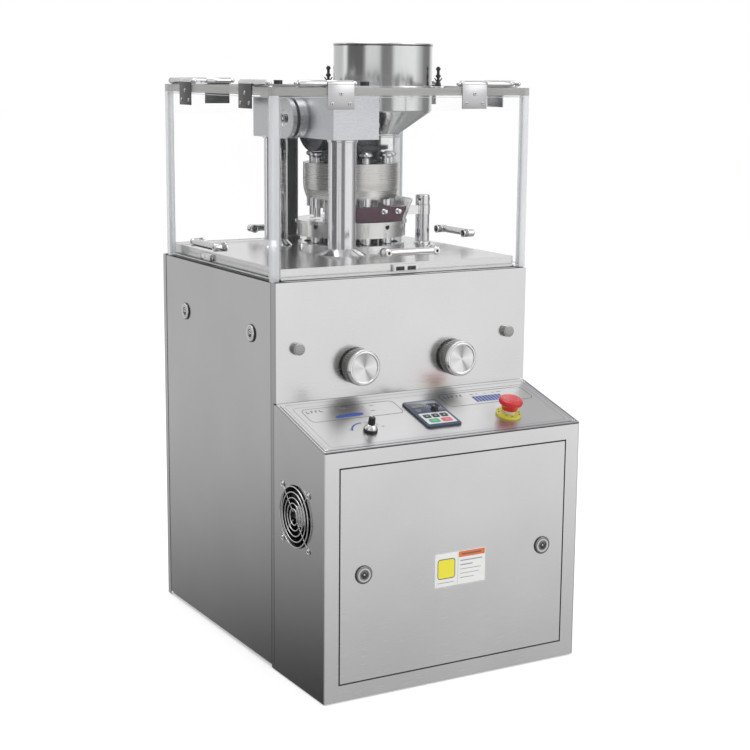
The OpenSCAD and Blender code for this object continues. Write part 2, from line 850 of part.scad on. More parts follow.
module v_belt() {
    color("black") difference() {
        hull() {
            bar_y(pulley_r[0] + 7, pulley_y[0] + 3, pulley_y[1] - 3, worm_x, worm_z, $fn = 48);
            bar_y(pulley_r[1] + 7, pulley_y[0] + 3, pulley_y[1] - 3, worm_x, motor_z, $fn = 48);
        }
        hull() {
            bar_y(pulley_r[0] + 1, pulley_y[0], pulley_y[1], worm_x, worm_z, $fn = 48);
            bar_y(pulley_r[1] + 1, pulley_y[0], pulley_y[1], worm_x, motor_z, $fn = 48);
        }
    }
}

// ---------- Feeder ----------

feeder_low = die_top + 0.35;
feeder_arm_y = 109;
post_x = 187;

module feed_frame() {
    skirt = [-53, 14];
    color("lightgray") {
        difference() {
            union() {
                sector(58, 99, -53, 44, feeder_low, feeder_low + 3.6);
                // Flared skirt that keeps powder on the table
                on_turret() translate([0, 0, feeder_low]) rotate(skirt[0])
                    rotate_extrude(angle = skirt[1] - skirt[0])
                        polygon([[96, 0], [98.2, 0], [111.2, 35], [109, 35]]);
                // Receiving cup under the hopper spout
                bar_z(23, feeder_low, 758, hopper_x, hopper_y);
                // Arm out to the post
                span([143, feeder_arm_y - 6, 721], [post_x, feeder_arm_y + 6, 737]);
                bar_z(14, 721, 737, post_x, feeder_arm_y);
            }
            sector(63.5, 76.5, -40, 36, feeder_low - 1, feeder_low + 5);
            bar_z(20, feeder_low + 3.6, 760, hopper_x, hopper_y);
            bar_z(9, 720, 738, post_x, feeder_arm_y);
        }
    }
}

module feed_plate() {
    y0 = turret_y - 88;
    color([0.30, 0.14, 0.17]) difference() {
        union() {
            translate([8, y0 + 5, feeder_low]) rotate([90, 0, 0])
                linear_extrude(5) polygon([[0, 0], [90, 0], [97, 25.5], [0, 25.5]]);
            for (x = [60, 88]) {
                bar_y(2.5, y0 - 6, y0 + eps, x, feeder_low + 18);
                translate([x, y0 - 8, feeder_low + 18]) sphere(r = 4.2, $fn = 48);
            }
        }
    }
}

module feeder_post() {
    color("lightgray") {
        bar_z(8.95, table_top, 756, post_x, feeder_arm_y);
        bar_z(13, table_top, 720.9, post_x, feeder_arm_y);
        bar_z(13, 737.1, 755, post_x, feeder_arm_y);
    }
}

// ---------- Hopper ----------

bracket_low = 938;
bracket_top = 948;
stud_at = [[211, 100], [62, 243]];

module hopper() {
    wall = 1.5;
    cone_top = 906;
    cone_low = 864;
    outlet_r = 33;
    shell = [
        [outlet_r - wall, cone_low], [outlet_r, cone_low], [hopper_r, cone_top], [hopper_r, hopper_top - 3],
        [hopper_r + 1.2, hopper_top - 3], [hopper_r + 1.2, hopper_top], [hopper_r - wall, hopper_top],
        [hopper_r - wall, cone_top + 0.6], [outlet_r - wall, cone_low + 1]
    ];
    color("silver") {
        translate([hopper_x, hopper_y, 0]) rotate_extrude() polygon(shell);
        // Flange ears that the clamp studs pass through
        difference() {
            union() {
                bar_z(hopper_r + 2.5, bracket_top + 0.3, bracket_top + 3.3, hopper_x, hopper_y);
                for (s = stud_at)
                    bar_z(15, bracket_top + 0.3, bracket_top + 3.3, s[0], s[1]);
            }
            bar_z(hopper_r - wall, bracket_top, bracket_top + 4, hopper_x, hopper_y);
        }
        for (s = stud_at) {
            bar_z(3, bracket_top + 3, 986, s[0], s[1]);
            bar_z(5.5, bracket_top + 3, bracket_top + 9, s[0], s[1]);
            bar_z(4.5, 978, 984, s[0], s[1]);
            span([s[0] - 12, s[1] - 1.5, 962], [s[0] + 12, s[1] + 1.5, 966]);
        }
    }
}

// Clear tapering outlet below the hopper
module hopper_spout() {
    color([0.85, 0.9, 0.95, 0.4]) translate([hopper_x, hopper_y, 0]) rotate_extrude()
        polygon([[31.5, 864], [33, 864], [33, 858], [17.5, 828],
            [17.5, 740], [15.5, 740], [15.5, 828], [31, 858]]);
}

module hopper_bracket() {
    color("silver") difference() {
        span([head_right, 70, bracket_low], [229.2, 275, bracket_top]);
        bar_z(hopper_r + 0.9, bracket_low - 1, bracket_top + 1, hopper_x, hopper_y);
    }
}

// ---------- Guard ----------

module guard_frame() {
    color([0.9, 0.94, 0.97, 0.5]) {
        difference() {
            span([-guard_x, guard_front, rail_low], [guard_x, guard_rear, rail_high]);
            span([-guard_x + bar, guard_front + bar, rail_low - 1],
                [guard_x - bar, guard_rear - bar, rail_high + 1]);
        }
        for (x = [-guard_x, guard_x - bar], y = [guard_front, guard_rear - bar])
            span([x, y, body_h], [x + bar, y + bar, rail_low + eps]);
    }
}

// Puts its children in front of one side of the guard: x along it, -y outwards
module on_front() {
    translate([0, guard_front, 0]) children();
}

module on_rear() {
    translate([0, guard_rear, 0]) rotate(180) children();
}

module on_left() {
    translate([-guard_x, side_mid, 0]) rotate(-90) children();
}

module on_right() {
    translate([guard_x, side_mid, 0]) rotate(90) children();
}

front_half = guard_x - bar - 0.8;
side_half = (guard_rear - guard_front) / 2 - bar - 0.8;

module clear_door(half, low) {
    color([0.85, 0.92, 0.97, 0.35]) span([-half, -proud, low], [half, clear_t - proud, rail_low - 2]);
}

// Handle low on the door, and the door's half of each hinge
module door_fittings(leaves, handle_x) {
    color("lightgray") {
        for (s = [-1, 1])
            bar_y(7, -24, -proud, handle_x + s * handle_half, handle_z);
        bar_x(6.3, handle_x - handle_half, handle_x + handle_half, -17, handle_z);
        for (x = leaves)
            difference() {
                union() {
                    span([x - leaf_w / 2, -proud - leaf_t, leaf_low], [x + leaf_w / 2, -proud, barrel_z]);
                    bar_x(barrel_r, x - leaf_w / 2, x + leaf_w / 2, barrel_in, barrel_z);
                }
                bar_x(pin_r + run_fit, x - leaf_w, x + leaf_w, barrel_in, barrel_z);
            }
    }
}

// The rail's half of each hinge; side says on which side of the door leaf it sits
module rail_leaves(leaves, sides) {
    for (i = [0 : 1]) {
        x = leaves[i] + sides[i] * (leaf_w + 1);
        y = barrel_in;
        end = leaves[i] - sides[i] * (leaf_w / 2 + 4);
        far = x + sides[i] * (leaf_w / 2 + 4);
        span([x - leaf_w / 2, y, rail_high], [x + leaf_w / 2, y + 8, rail_high + leaf_t]);
        bar_x(barrel_r, x - leaf_w / 2, x + leaf_w / 2, y, barrel_z);
        bar_x(pin_r, min(end, far), max(end, far), y, barrel_z);
        for (e = [end, far])
            translate([e, y, barrel_z]) sphere(r = 4, $fn = 48);
    }
}

module hinge_brackets() {
    color("lightgray") {
        on_front() rail_leaves(front_leaves, [-1, 1]);
        on_rear() rail_leaves(rear_leaves, [-1, 1]);
        on_left() rail_leaves(left_leaves, [-1, 1]);
        on_right() rail_leaves(right_leaves, [-1, 1]);
    }
}

module front_door() {
    on_front() clear_door(front_half, clear_low);
}

module front_door_fittings() {
    on_front() door_fittings(front_leaves, 3);
}

module rear_door() {
    on_rear() clear_door(front_half, table_top + 2);
}

module rear_door_fittings() {
    on_rear() door_fittings(rear_leaves, 20);
}

module left_door() {
    on_left() clear_door(side_half, clear_low);
}

module left_door_fittings() {
    on_left() door_fittings(left_leaves, -5);
}

module right_door() {
    on_right() clear_door(side_half, clear_low);
}

module right_door_fittings() {
    on_right() door_fittings(right_leaves, 31);
}

base_frame();
top_deck();
table_plate();
upper_front_panel();
rear_panel();
right_side_panel();
left_side_panel();
left_lock_front();
left_lock_rear();
cabinet_sides();
cabinet_frame();
control_panel();
inverter();
keypad_dial();
speed_knob();
estop_button();
fan_housing();
fan_rotor();
electrical_door();
door_lock_left();
door_lock_right();
filling_handwheel();
pressure_handwheel();
columns();
head_casting();
roll_shaft();
upper_cam();
lower_cam();
dosing_cam();
upper_drum();
die_table();
lower_drum();
dies();
upper_punches();
lower_punches();
main_shaft();
worm_wheel();
worm_shaft();
motor();
motor_pulley();
v_belt();
upper_roll();
lower_roll();
roll_carrier();
feed_frame();
feed_plate();
feeder_post();
hopper();
hopper_spout();
hopper_bracket();
guard_frame();
hinge_brackets();
front_door();
front_door_fittings();
rear_door();
rear_door_fittings();
left_door();
left_door_fittings();
right_door();
right_door_fittings();
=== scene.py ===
"""Looks of the tablet press: materials, light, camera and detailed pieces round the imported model."""
import math

import bmesh
import bpy
from mathutils import Matrix, Vector


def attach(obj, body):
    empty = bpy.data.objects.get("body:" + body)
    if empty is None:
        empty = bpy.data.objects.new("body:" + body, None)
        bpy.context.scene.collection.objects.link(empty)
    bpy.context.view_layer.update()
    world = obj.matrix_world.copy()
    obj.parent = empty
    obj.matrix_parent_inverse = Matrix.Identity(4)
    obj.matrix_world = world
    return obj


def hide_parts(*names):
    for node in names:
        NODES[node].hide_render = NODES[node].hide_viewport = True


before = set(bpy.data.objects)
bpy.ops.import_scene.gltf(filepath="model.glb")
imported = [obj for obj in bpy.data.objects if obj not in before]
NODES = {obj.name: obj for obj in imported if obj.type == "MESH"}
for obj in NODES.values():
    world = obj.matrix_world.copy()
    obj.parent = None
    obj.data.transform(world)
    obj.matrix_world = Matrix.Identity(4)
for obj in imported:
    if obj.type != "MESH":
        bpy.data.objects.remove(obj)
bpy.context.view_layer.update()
MM = 0.001
TUBE_UP = Vector((0.13, 0.31, 0.94)).normalized()  # off every wire in the model

# ---------------------------------------------------------------- materials


def node_mat(name):
    m = bpy.data.materials.new(name)
    m.use_nodes = True
    nt = m.node_tree
    bsdf = nt.nodes["Principled BSDF"]
    return m, nt, bsdf


def add(nt, kind, **props):
    n = nt.nodes.new(kind)
    for k, v in props.items():
        setattr(n, k, v)
    return n


def ramp(nt, src, stops):
    r = add(nt, "ShaderNodeValToRGB")
    el = r.color_ramp.elements
    while len(el) < len(stops):
        el.new(0.5)
    for e, (pos, col) in zip(el, stops):
        e.position = pos
        e.color = (*col, 1)
    nt.links.new(src, r.inputs[0])
    return r.outputs[0]


def grey(v):
    return (v, v, v)


def feed(nt, socket, v):
    """Links a socket to another one, or sets it to a number or a colour."""
    if isinstance(v, bpy.types.NodeSocket):
        nt.links.new(v, socket)
    else:
        socket.default_value = (*v, 1) if isinstance(v, tuple) else v


def calc(nt, operation, *values):
    n = add(nt, "ShaderNodeMath", operation=operation)
    for socket, v in zip(n.inputs, values):
        feed(nt, socket, v)
    return n.outputs[0]


def mixed(nt, fac, a, b, blend="MIX"):
    n = add(nt, "ShaderNodeMix", data_type="RGBA", blend_type=blend)
    for name, v in (("Factor", fac), ("A", a), ("B", b)):
        feed(nt, n.inputs[name], v)
    return n.outputs["Result"]


def object_coords(nt):
    return add(nt, "ShaderNodeTexCoord").outputs["Object"]


def noise(nt, coords, scale, detail=2.0):
    n = add(nt, "ShaderNodeTexNoise")
    n.inputs["Scale"].default_value = scale
    n.inputs["Detail"].default_value = detail
    nt.links.new(coords, n.inputs["Vector"])
    return n.outputs["Fac"]


def scaled(nt, scale):
    mp = add(nt, "ShaderNodeMapping")
    mp.inputs["Scale"].default_value = scale
    nt.links.new(object_coords(nt), mp.inputs[0])
    return mp.outputs[0]


def from_centre(nt, centre):
    """X, Y and Z of the object coordinates, measured from a point in metres."""
    sub = add(nt, "ShaderNodeVectorMath", operation="SUBTRACT")
    sub.inputs[1].default_value = centre
    nt.links.new(object_coords(nt), sub.inputs[0])
    sep = add(nt, "ShaderNodeSeparateXYZ")
    nt.links.new(sub.outputs[0], sep.inputs[0])
    return sep.outputs


def whole_turn(nt, y, x):
    """The angle of (x, y), from -180 to 180 degrees, as a number from 0 to 1."""
    return calc(nt, "MULTIPLY_ADD", calc(nt, "ARCTAN2", y, x), 0.5 / math.pi, 0.5)


RING_SCALE = 1500.0  # noise scale across and along turning rings


def round_coords(nt, centre, axis):
    """Coordinates (radius, 0, height) round a centre line, so that noise runs in turning rings."""
    xyz = from_centre(nt, centre)
    squares = [calc(nt, "MULTIPLY", xyz[i], xyz[i]) for i in range(3) if i != axis]
    radius = calc(nt, "SQRT", calc(nt, "ADD", *squares))
    comb = add(nt, "ShaderNodeCombineXYZ")
    for src, i in ((radius, 0), (xyz[axis], 2)):
        nt.links.new(calc(nt, "MULTIPLY", src, RING_SCALE), comb.inputs[i])
    return comb.outputs[0]


def finish_metal(nt, bsdf, grain, blotch, col, rough, contrast, bump, metallic=1.0):
    """Wires a grain noise and a broad blotch noise into colour, roughness and bump."""
    g = noise(nt, grain, 1.0, 3.0)
    lo = tuple(c * (1 - contrast) for c in col)
    hi = tuple(min(1.0, c * (1 + contrast)) for c in col)
    c1 = ramp(nt, g, [(0.3, lo), (0.7, hi)])
    c2 = ramp(nt, noise(nt, object_coords(nt), blotch), [(0.25, grey(0.93)), (0.75, grey(1.0))])
    nt.links.new(mixed(nt, 1.0, c1, c2, "MULTIPLY"), bsdf.inputs["Base Color"])
    r = ramp(nt, g, [(0.3, grey(rough * 0.85)), (0.7, grey(min(1, rough * 1.15)))])
    nt.links.new(r, bsdf.inputs["Roughness"])
    bsdf.inputs["Metallic"].default_value = metallic
    bp = add(nt, "ShaderNodeBump")
    bp.inputs["Strength"].default_value = bump
    bp.inputs["Distance"].default_value = 0.0002
    nt.links.new(g, bp.inputs["Height"])
    nt.links.new(bp.outputs[0], bsdf.inputs["Normal"])


def brushed(name, col, rough, along, contrast, bump, fine=1600.0):
    m, nt, bsdf = node_mat(name)
    long = fine / 60
    scale = {"x": (long, fine, fine), "y": (fine, long, fine), "z": (fine, fine, long)}[along]
    finish_metal(nt, bsdf, scaled(nt, scale), 6.0, col, rough, contrast, bump)
    return m


def turned(name, col, rough, contrast=0.05, bump=0.12):
    """Metal turned round the turret's axis."""
    m, nt, bsdf = node_mat(name)
    finish_metal(nt, bsdf, round_coords(nt, TURRET_CENTRE, 2), 8.0, col, rough, contrast, bump)
    return m


def polished(name, col, rough):
    m, nt, bsdf = node_mat(name)
    finish_metal(nt, bsdf, scaled(nt, (300, 300, 300)), 14.0, col, rough, 0.03, 0.02)
    return m


def painted(name, col, rough, bump, size, coat=0.0, metallic=0.0):
    m, nt, bsdf = node_mat(name)
    finish_metal(nt, bsdf, scaled(nt, (size, size, size)), 12.0, col, rough, 0.08, bump, metallic)
    bsdf.inputs["Coat Weight"].default_value = coat
    bsdf.inputs["Coat Roughness"].default_value = 0.15
    return m


def clear(name, col, alpha, rough=0.06):
    m, nt, bsdf = node_mat(name)
    n = noise(nt, object_coords(nt), 9.0)
    lo = tuple(c * 0.96 for c in col)
    nt.links.new(ramp(nt, n, [(0.3, lo), (0.7, col)]), bsdf.inputs["Base Color"])
    matt = ramp(nt, n, [(0.3, grey(rough)), (0.7, grey(rough * 1.5))])
    nt.links.new(matt, bsdf.inputs["Roughness"])
    bsdf.inputs["Alpha"].default_value = alpha
    bsdf.inputs["IOR"].default_value = 1.49
    return m


def tint_base(nt, fac, col):
    """Multiplies the base colour by another, as far as fac says."""
    base = nt.nodes["Principled BSDF"].inputs["Base Color"]
    nt.links.new(mixed(nt, fac, base.links[0].from_socket, col, "MULTIPLY"), base)


def painted_side_shade(mat, k):
    """Painted shade: scales the colour down on faces that look along X, as a fold in sheet metal darkens in
    a side light.
    """
    nt = mat.node_tree
    sep = add(nt, "ShaderNodeSeparateXYZ")
    nt.links.new(add(nt, "ShaderNodeNewGeometry").outputs["True Normal"], sep.inputs[0])
    tint_base(nt, calc(nt, "GREATER_THAN", calc(nt, "ABSOLUTE", sep.outputs["X"]), 0.5), grey(k))
    return mat


def turned_face_with_painted_reflection(name, col, rough, centre):
    """A turned face: fine rings round a Y axis through centre, with a painted reflection: light and dark
    sectors fanning out from it, painted into the colour by angle.
    """
    m, nt, bsdf = node_mat(name)
    finish_metal(nt, bsdf, round_coords(nt, centre, 1), 8.0, col, rough, 0.05, 0.06)
    xyz = from_centre(nt, centre)
    tint_base(nt, 1.0, ramp(nt, whole_turn(nt, xyz["Z"], xyz["X"]), [(t, grey(v)) for t, v in (
        (0.0, 0.80), (0.12, 1.0), (0.26, 0.95), (0.33, 0.45), (0.40, 0.85), (0.52, 1.0), (0.66, 0.72),
        (0.74, 0.42), (0.80, 0.55), (0.90, 1.0), (1.0, 0.80))]))
    return m


TURRET_CENTRE = (0.0435, 0.120, 0)  # in metres
THUMB = painted("thumb_face", (0.42, 0.42, 0.41), 0.30, 0.05, 700.0, 0.0, 1.0)
# A darker copy of the chrome for knurled grips, the thumb screws' grooves and the door locks' rings:
# painted shade.
CHROME_SHADED = painted("chrome_painted_shade", (0.30, 0.30, 0.29), 0.16, 0.04, 500.0, 0.0, 1.0)

# The upper front sheet's faces along X get painted shade, scaled down to 0.62.
SHEET_FRONT = painted_side_shade(brushed("sheet_front", (0.76, 0.76, 0.76), 0.24, "x", 0.02, 0.06), 0.62)
SHEET_REAR = brushed("sheet_rear", (0.74, 0.74, 0.74), 0.45, "x", 0.02, 0.02)
# The side panels are a darker copy of the same sheet steel: painted shade for the sides turned from the
# light.
SHEET_SIDE_SHADED = brushed("sheet_side_painted_shade", (0.60, 0.60, 0.60), 0.20, "x", 0.02, 0.05)
SHEET_DOOR = brushed("sheet_door", (0.79, 0.79, 0.79), 0.24, "x", 0.02, 0.06)
PLATE = brushed("plate_fine", (0.74, 0.74, 0.735), 0.22, "x", 0.03, 0.08)
PANEL = brushed("panel_fine", (0.57, 0.57, 0.57), 0.34, "x", 0.02, 0.06)
HEAD = brushed("head_satin", (0.62, 0.63, 0.65), 0.28, "x", 0.02, 0.05, 2200.0)
LEAF = brushed("leaf_front", (0.58, 0.58, 0.59), 0.30, "x", 0.02, 0.05)
# Near-black copy of the hinge leaf steel for the rear and left sides: painted shade.
LEAF_SHADED = brushed("leaf_side_painted_shade", (0.12, 0.12, 0.12), 0.30, "y", 0.03, 0.05)
STRIP = brushed("front_strip", (0.55, 0.55, 0.55), 0.35, "x", 0.03, 0.05)
COLLAR = turned("collar_turned", (0.74, 0.74, 0.74), 0.16)
CHROME = polished("chrome", (0.82, 0.82, 0.83), 0.07)
STEEL = polished("steel_polished", (0.68, 0.68, 0.70), 0.12)
COLUMN = polished("column_chrome", (0.78, 0.77, 0.79), 0.13)
BRIGHT = polished("steel_bright", (0.80, 0.80, 0.80), 0.18)
HOPPER = brushed("hopper_polish", (0.76, 0.765, 0.77), 0.17, "z", 0.04, 0.02, 900.0)
DRUM = turned("drum_turned", (0.63, 0.62, 0.60), 0.27, 0.03, 0.06)
TABLE = turned("table_turned", (0.70, 0.695, 0.68), 0.20)
DARK = painted("dark_oiled", (0.05, 0.05, 0.055), 0.28, 0.08, 700.0, 0.2, 0.9)
ROLL = painted("roll_dark", (0.045, 0.045, 0.06), 0.24, 0.05, 600.0, 0.3, 0.9)
PUNCH = polished("punch_ground", (0.74, 0.74, 0.76), 0.14)
CAST = painted("cast_paint", (0.20, 0.21, 0.22), 0.5, 0.35, 500.0, 0.2)
LOCK = painted("lock_nickel", (0.17, 0.18, 0.18), 0.22, 0.05, 700.0, 0.2, 0.9)
ORANGE = painted("label_orange", (0.70, 0.16, 0.02), 0.4, 0.03, 700.0, 0.2)
LABEL_YELLOW = painted("label_yellow", (0.80, 0.72, 0.03), 0.4, 0.03, 700.0, 0.2)
# Black metal for dark bolts, studs and nuts; also painted shade in gaps, recesses and grooves, and a
# painted reflection on a dark rear column.
BLACK_METAL_AND_SHADE = painted("black_metal_and_painted_shade", (0.018, 0.018, 0.02), 0.35, 0.1, 900.0, 0.2)
BLACK = painted("black_plastic", (0.012, 0.012, 0.013), 0.38, 0.12, 1500.0, 0.1)
RUBBER = painted("belt_rubber", (0.015, 0.015, 0.015), 0.7, 0.3, 1500.0)
RED = painted("red_plastic", (0.62, 0.012, 0.02), 0.3, 0.06, 700.0, 0.4)
RED_MARK = painted("red_mark", (0.75, 0.20, 0.20), 0.35, 0.04, 700.0, 0.2)
YELLOW = painted("yellow_plastic", (0.78, 0.74, 0.03), 0.4, 0.06, 800.0, 0.2)
WHITE = painted("white_plastic", (0.78, 0.78, 0.76), 0.4, 0.05, 900.0, 0.1)
NAVY = painted("navy_plastic", (0.03, 0.045, 0.085), 0.35, 0.12, 1400.0, 0.2)
DISPLAY = painted("display_film", (0.045, 0.065, 0.12), 0.16, 0.02, 300.0, 0.6)
FOIL = painted("foil_plate", (0.55, 0.55, 0.54), 0.35, 0.05, 900.0, 0.0, 0.6)
FILM = painted("light_film", (0.70, 0.73, 0.76), 0.40, 0.04, 800.0, 0.2)
KEY = painted("key_grey", (0.045, 0.050, 0.055), 0.5, 0.1, 1200.0)
GREEN = painted("key_green", (0.10, 0.45, 0.22), 0.45, 0.08, 1200.0)
KEY_RED = painted("key_red", (0.72, 0.16, 0.17), 0.45, 0.08, 1200.0)
INK = painted("ink_dark", (0.10, 0.11, 0.15), 0.5, 0.02, 800.0)
INK_LINE = painted("ink_line", (0.30, 0.32, 0.38), 0.5, 0.02, 800.0)
INK_BLUE = painted("ink_blue", (0.045, 0.09, 0.36), 0.45, 0.02, 800.0)
PHENOLIC = painted("phenolic", (0.070, 0.016, 0.040), 0.42, 0.15, 1100.0, 0.12)
BRONZE = painted("bronze", (0.50, 0.33, 0.12), 0.32, 0.1, 700.0, 0.0, 1.0)
MOTOR = painted("motor_enamel", (0.05, 0.11, 0.17), 0.38, 0.3, 600.0, 0.3)
ACRYLIC = clear("acrylic_sheet", (0.90, 0.94, 0.96), 0.015)
ACRYLIC_BAR = clear("acrylic_bar", (0.76, 0.77, 0.79), 0.55, 0.10)
ACRYLIC_RAIL = clear("acrylic_rail", (0.42, 0.42, 0.41), 0.62, 0.10)
# Whiter, less clear strips for the doors' edges: painted highlight.
ACRYLIC_EDGE_HIGHLIGHT = clear("acrylic_edge_painted_highlight", (0.72, 0.75, 0.76), 0.45, 0.12)
SPOUT = clear("clear_spout", (0.86, 0.88, 0.90), 0.13, 0.05)
SPOUT_EDGE = clear("clear_spout_edge", (0.50, 0.52, 0.55), 0.55, 0.10)

# top_deck is black: painted shade for the shadow gap under the table plate.
NODE_MATS = {
    "base_frame": CAST, "top_deck": BLACK_METAL_AND_SHADE, "table_plate": PLATE, "upper_front_panel": SHEET_FRONT,
    "rear_panel": SHEET_REAR, "right_side_panel": SHEET_SIDE_SHADED, "left_side_panel": SHEET_SIDE_SHADED,
    "left_lock_front": CHROME, "left_lock_rear": CHROME, "cabinet_sides": SHEET_SIDE_SHADED,
    "cabinet_frame": SHEET_DOOR, "control_panel": PANEL, "inverter": NAVY, "keypad_dial": BLACK,
    "speed_knob": BLACK, "estop_button": RED, "fan_housing": BLACK, "fan_rotor": BLACK,
    "electrical_door": SHEET_DOOR, "door_lock_left": CHROME, "door_lock_right": CHROME,
    "filling_handwheel": CHROME, "pressure_handwheel": CHROME, "columns": COLUMN, "head_casting": HEAD,
    "roll_shaft": STEEL, "upper_cam": DARK, "lower_cam": DARK, "dosing_cam": BRONZE, "upper_drum": DRUM,
    "die_table": TABLE, "lower_drum": DARK, "dies": PUNCH, "upper_punches": PUNCH, "lower_punches": PUNCH,
    "main_shaft": STEEL, "worm_wheel": BRONZE, "worm_shaft": STEEL, "motor": MOTOR, "motor_pulley": STEEL,
    "v_belt": RUBBER, "upper_roll": ROLL, "lower_roll": ROLL, "roll_carrier": CAST, "feed_frame": BRIGHT,
    "feed_plate": PHENOLIC, "feeder_post": STEEL, "hopper": HOPPER, "hopper_spout": SPOUT,
    "hopper_bracket": BRIGHT, "guard_frame": ACRYLIC_BAR, "hinge_brackets": CHROME,
}
for side in ("front", "rear", "left", "right"):
    NODE_MATS[side + "_door"] = ACRYLIC
    NODE_MATS[side + "_door_fittings"] = CHROME
for name, o in NODES.items():
    o.data.materials.clear()
    o.data.materials.append(NODE_MATS[name])
    for poly in o.data.polygons:
        poly.material_index = 0

# ---------------------------------------------------------------- mesh builder


def bevel_edges(b, edges, offset):
    if offset:
        bmesh.ops.bevel(b, geom=list(edges), offset=offset, segments=2, affect="EDGES", profile=0.5)


def neighbours(pts, closed):
    """Each point between the ones before and after it. At an open line's ends it is its own neighbour."""
    before = pts[-1:] + pts[:-1] if closed else pts[:1] + pts[:-1]
    after = pts[1:] + pts[:1] if closed else pts[1:] + pts[-1:]
    return zip(before, pts, after)


def linked(rows, closed):
    """Pairs of rows that follow each other, with the last and the first if the line is closed."""
    pairs = list(zip(rows, rows[1:] + rows[:1]))
    return pairs if closed else pairs[:-1]


class Piece:
    """Collects solids with several materials into one object. Lengths are in mm, in the CAD frame."""

    def __init__(self, name):
        self.name = name
        self.bm = bmesh.new()
        self.mats = []
        self.m = Matrix.Identity(4)

    def at(self, matrix):
        self.m = matrix

    def vert(self, p):
        return self.bm.verts.new((self.m @ Vector(p)) * MM)

    def face(self, verts, mat, smooth=False):
        if mat not in self.mats:
            self.mats.append(mat)
        f = self.bm.faces.new(verts)
        f.material_index = self.mats.index(mat)
        f.smooth = smooth

    def band(self, a, b, mat, smooth=False):
        """Faces between two rings with the same number of corners."""
        n = len(a)
        for k in range(n):
            self.face([a[k], a[(k + 1) % n], b[(k + 1) % n], b[k]], mat, smooth)

    def merge(self, b, mat):
        new = {v: self.vert(v.co) for v in b.verts}
        for f in b.faces:
            self.face([new[v] for v in f.verts], mat)
        b.free()

    def box(self, lo, hi, mat, bevel=0.0):
        b = bmesh.new()
        bmesh.ops.create_cube(b, size=1.0)
        lo, hi = Vector(lo), Vector(hi)
        for v in b.verts:
            v.co = Vector(lo[i] + (v.co[i] + 0.5) * (hi[i] - lo[i]) for i in range(3))
        bevel_edges(b, b.edges, bevel)
        self.merge(b, mat)

    def prism(self, pts, z0, z1, mat, bevel=0.0):
        """A closed outline in XY pulled from z0 to z1."""
        b = bmesh.new()
        low = [b.verts.new((x, y, z0)) for x, y in pts]
        top = [b.verts.new((x, y, z1)) for x, y in pts]
        b.faces.new(low[::-1])
        up = b.faces.new(top)
        n = len(pts)
        for k in range(n):
            b.faces.new([low[k], low[(k + 1) % n], top[(k + 1) % n], top[k]])
        bevel_edges(b, up.edges, bevel)
        self.merge(b, mat)

    def lathe(self, prof, mat, seg=64, bumps=None):
        """Turns (r, z) points round Z. bumps(k, j) gives a factor on r for column k of profile row j."""
        rows = []
        for j, (r, z) in enumerate(prof):
            if r < 1e-6:
                rows.append([self.vert((0, 0, z))])
                continue
            row = []
            for k in range(seg):
                a = 2 * math.pi * k / seg
                q = r * (bumps(k, j) if bumps else 1.0)
                row.append(self.vert((q * math.cos(a), q * math.sin(a), z)))
            rows.append(row)
        for a, b in zip(rows, rows[1:]):
            for k in range(seg):
                k2 = (k + 1) % seg
                if len(a) == 1:
                    q = [a[0], b[k2], b[k]]
                elif len(b) == 1:
                    q = [a[k], a[k2], b[0]]
                else:
                    q = [a[k], a[k2], b[k2], b[k]]
                self.face(q[::-1], mat, True)

    def tube(self, pts, r, mat, seg=10, closed=False):
        """A round wire through points."""
        rings = []
        side = None
        for a, p, b in neighbours([Vector(q) for q in pts], closed):
            t = (b - a).normalized()
            side = side - t * side.dot(t) if side is not None else t.cross(TUBE_UP)
            side.normalize()
            v = t.cross(side)
            turns = [2 * math.pi * j / seg for j in range(seg)]
            rings.append([self.vert(p + r * (math.cos(c) * side + math.sin(c) * v)) for c in turns])
        if not closed:
            self.face(rings[0][::-1], mat)
            self.face(rings[-1], mat)
        for a, b in linked(rings, closed):
            self.band(a, b, mat, True)

    def ball(self, c, r, mat, seg):
        keep = self.m
        self.m = keep @ Matrix.Translation(c)
        turns = [math.pi * k / 12 for k in range(13)]
        self.lathe([(r * math.sin(a), -r * math.cos(a)) for a in turns], mat, seg)
        self.m = keep

    def done(self, body, slot, *replaces):
        me = bpy.data.meshes.new(self.name)
        bmesh.ops.recalc_face_normals(self.bm, faces=list(self.bm.faces))
        self.bm.to_mesh(me)
        self.bm.free()
        me.set_sharp_from_angle(angle=math.radians(38))
        for m in self.mats:
            me.materials.append(m)
        o = bpy.data.objects.new(self.name, me)
        bpy.context.scene.collection.objects.link(o)
        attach(o, body)
        if replaces:
            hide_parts(*replaces)


def T(x, y, z):
    return Matrix.Translation((x, y, z))


def R(deg, axis):
    return Matrix.Rotation(math.radians(deg), 4, axis)


def arc_pts(cx, cy, r, a0, a1, n):
    turns = [math.radians(a0 + (a1 - a0) * k / n) for k in range(n + 1)]
    return [(cx + r * math.cos(a), cy + r * math.sin(a)) for a in turns]


def circle(r, n, z=0):
    return [(r * math.cos(2 * math.pi * k / n), r * math.sin(2 * math.pi * k / n), z) for k in range(n)]


def round_rect(x0, y0, x1, y1, r, n=6):
    p = []
    corners = ((x1 - r, y1 - r, 0), (x0 + r, y1 - r, 90), (x0 + r, y0 + r, 180), (x1 - r, y0 + r, 270))
    for cx, cy, a in corners:
        p += arc_pts(cx, cy, r, a, a + 90, n)
    return p


def ribbon(piece, pts, w, z, mat, closed=True):
    """A flat printed line of width w along an outline in XY."""
    rows = []
    for a, p, b in neighbours([Vector((x, y, z)) for x, y in pts], closed):
        d = (b - a).normalized()
        s = Vector((-d.y, d.x, 0)) * w / 2
        rows.append([piece.vert(p - s), piece.vert(p + s)])
    for a, b in linked(rows, closed):
        piece.face([a[0], b[0], b[1], a[1]], mat)


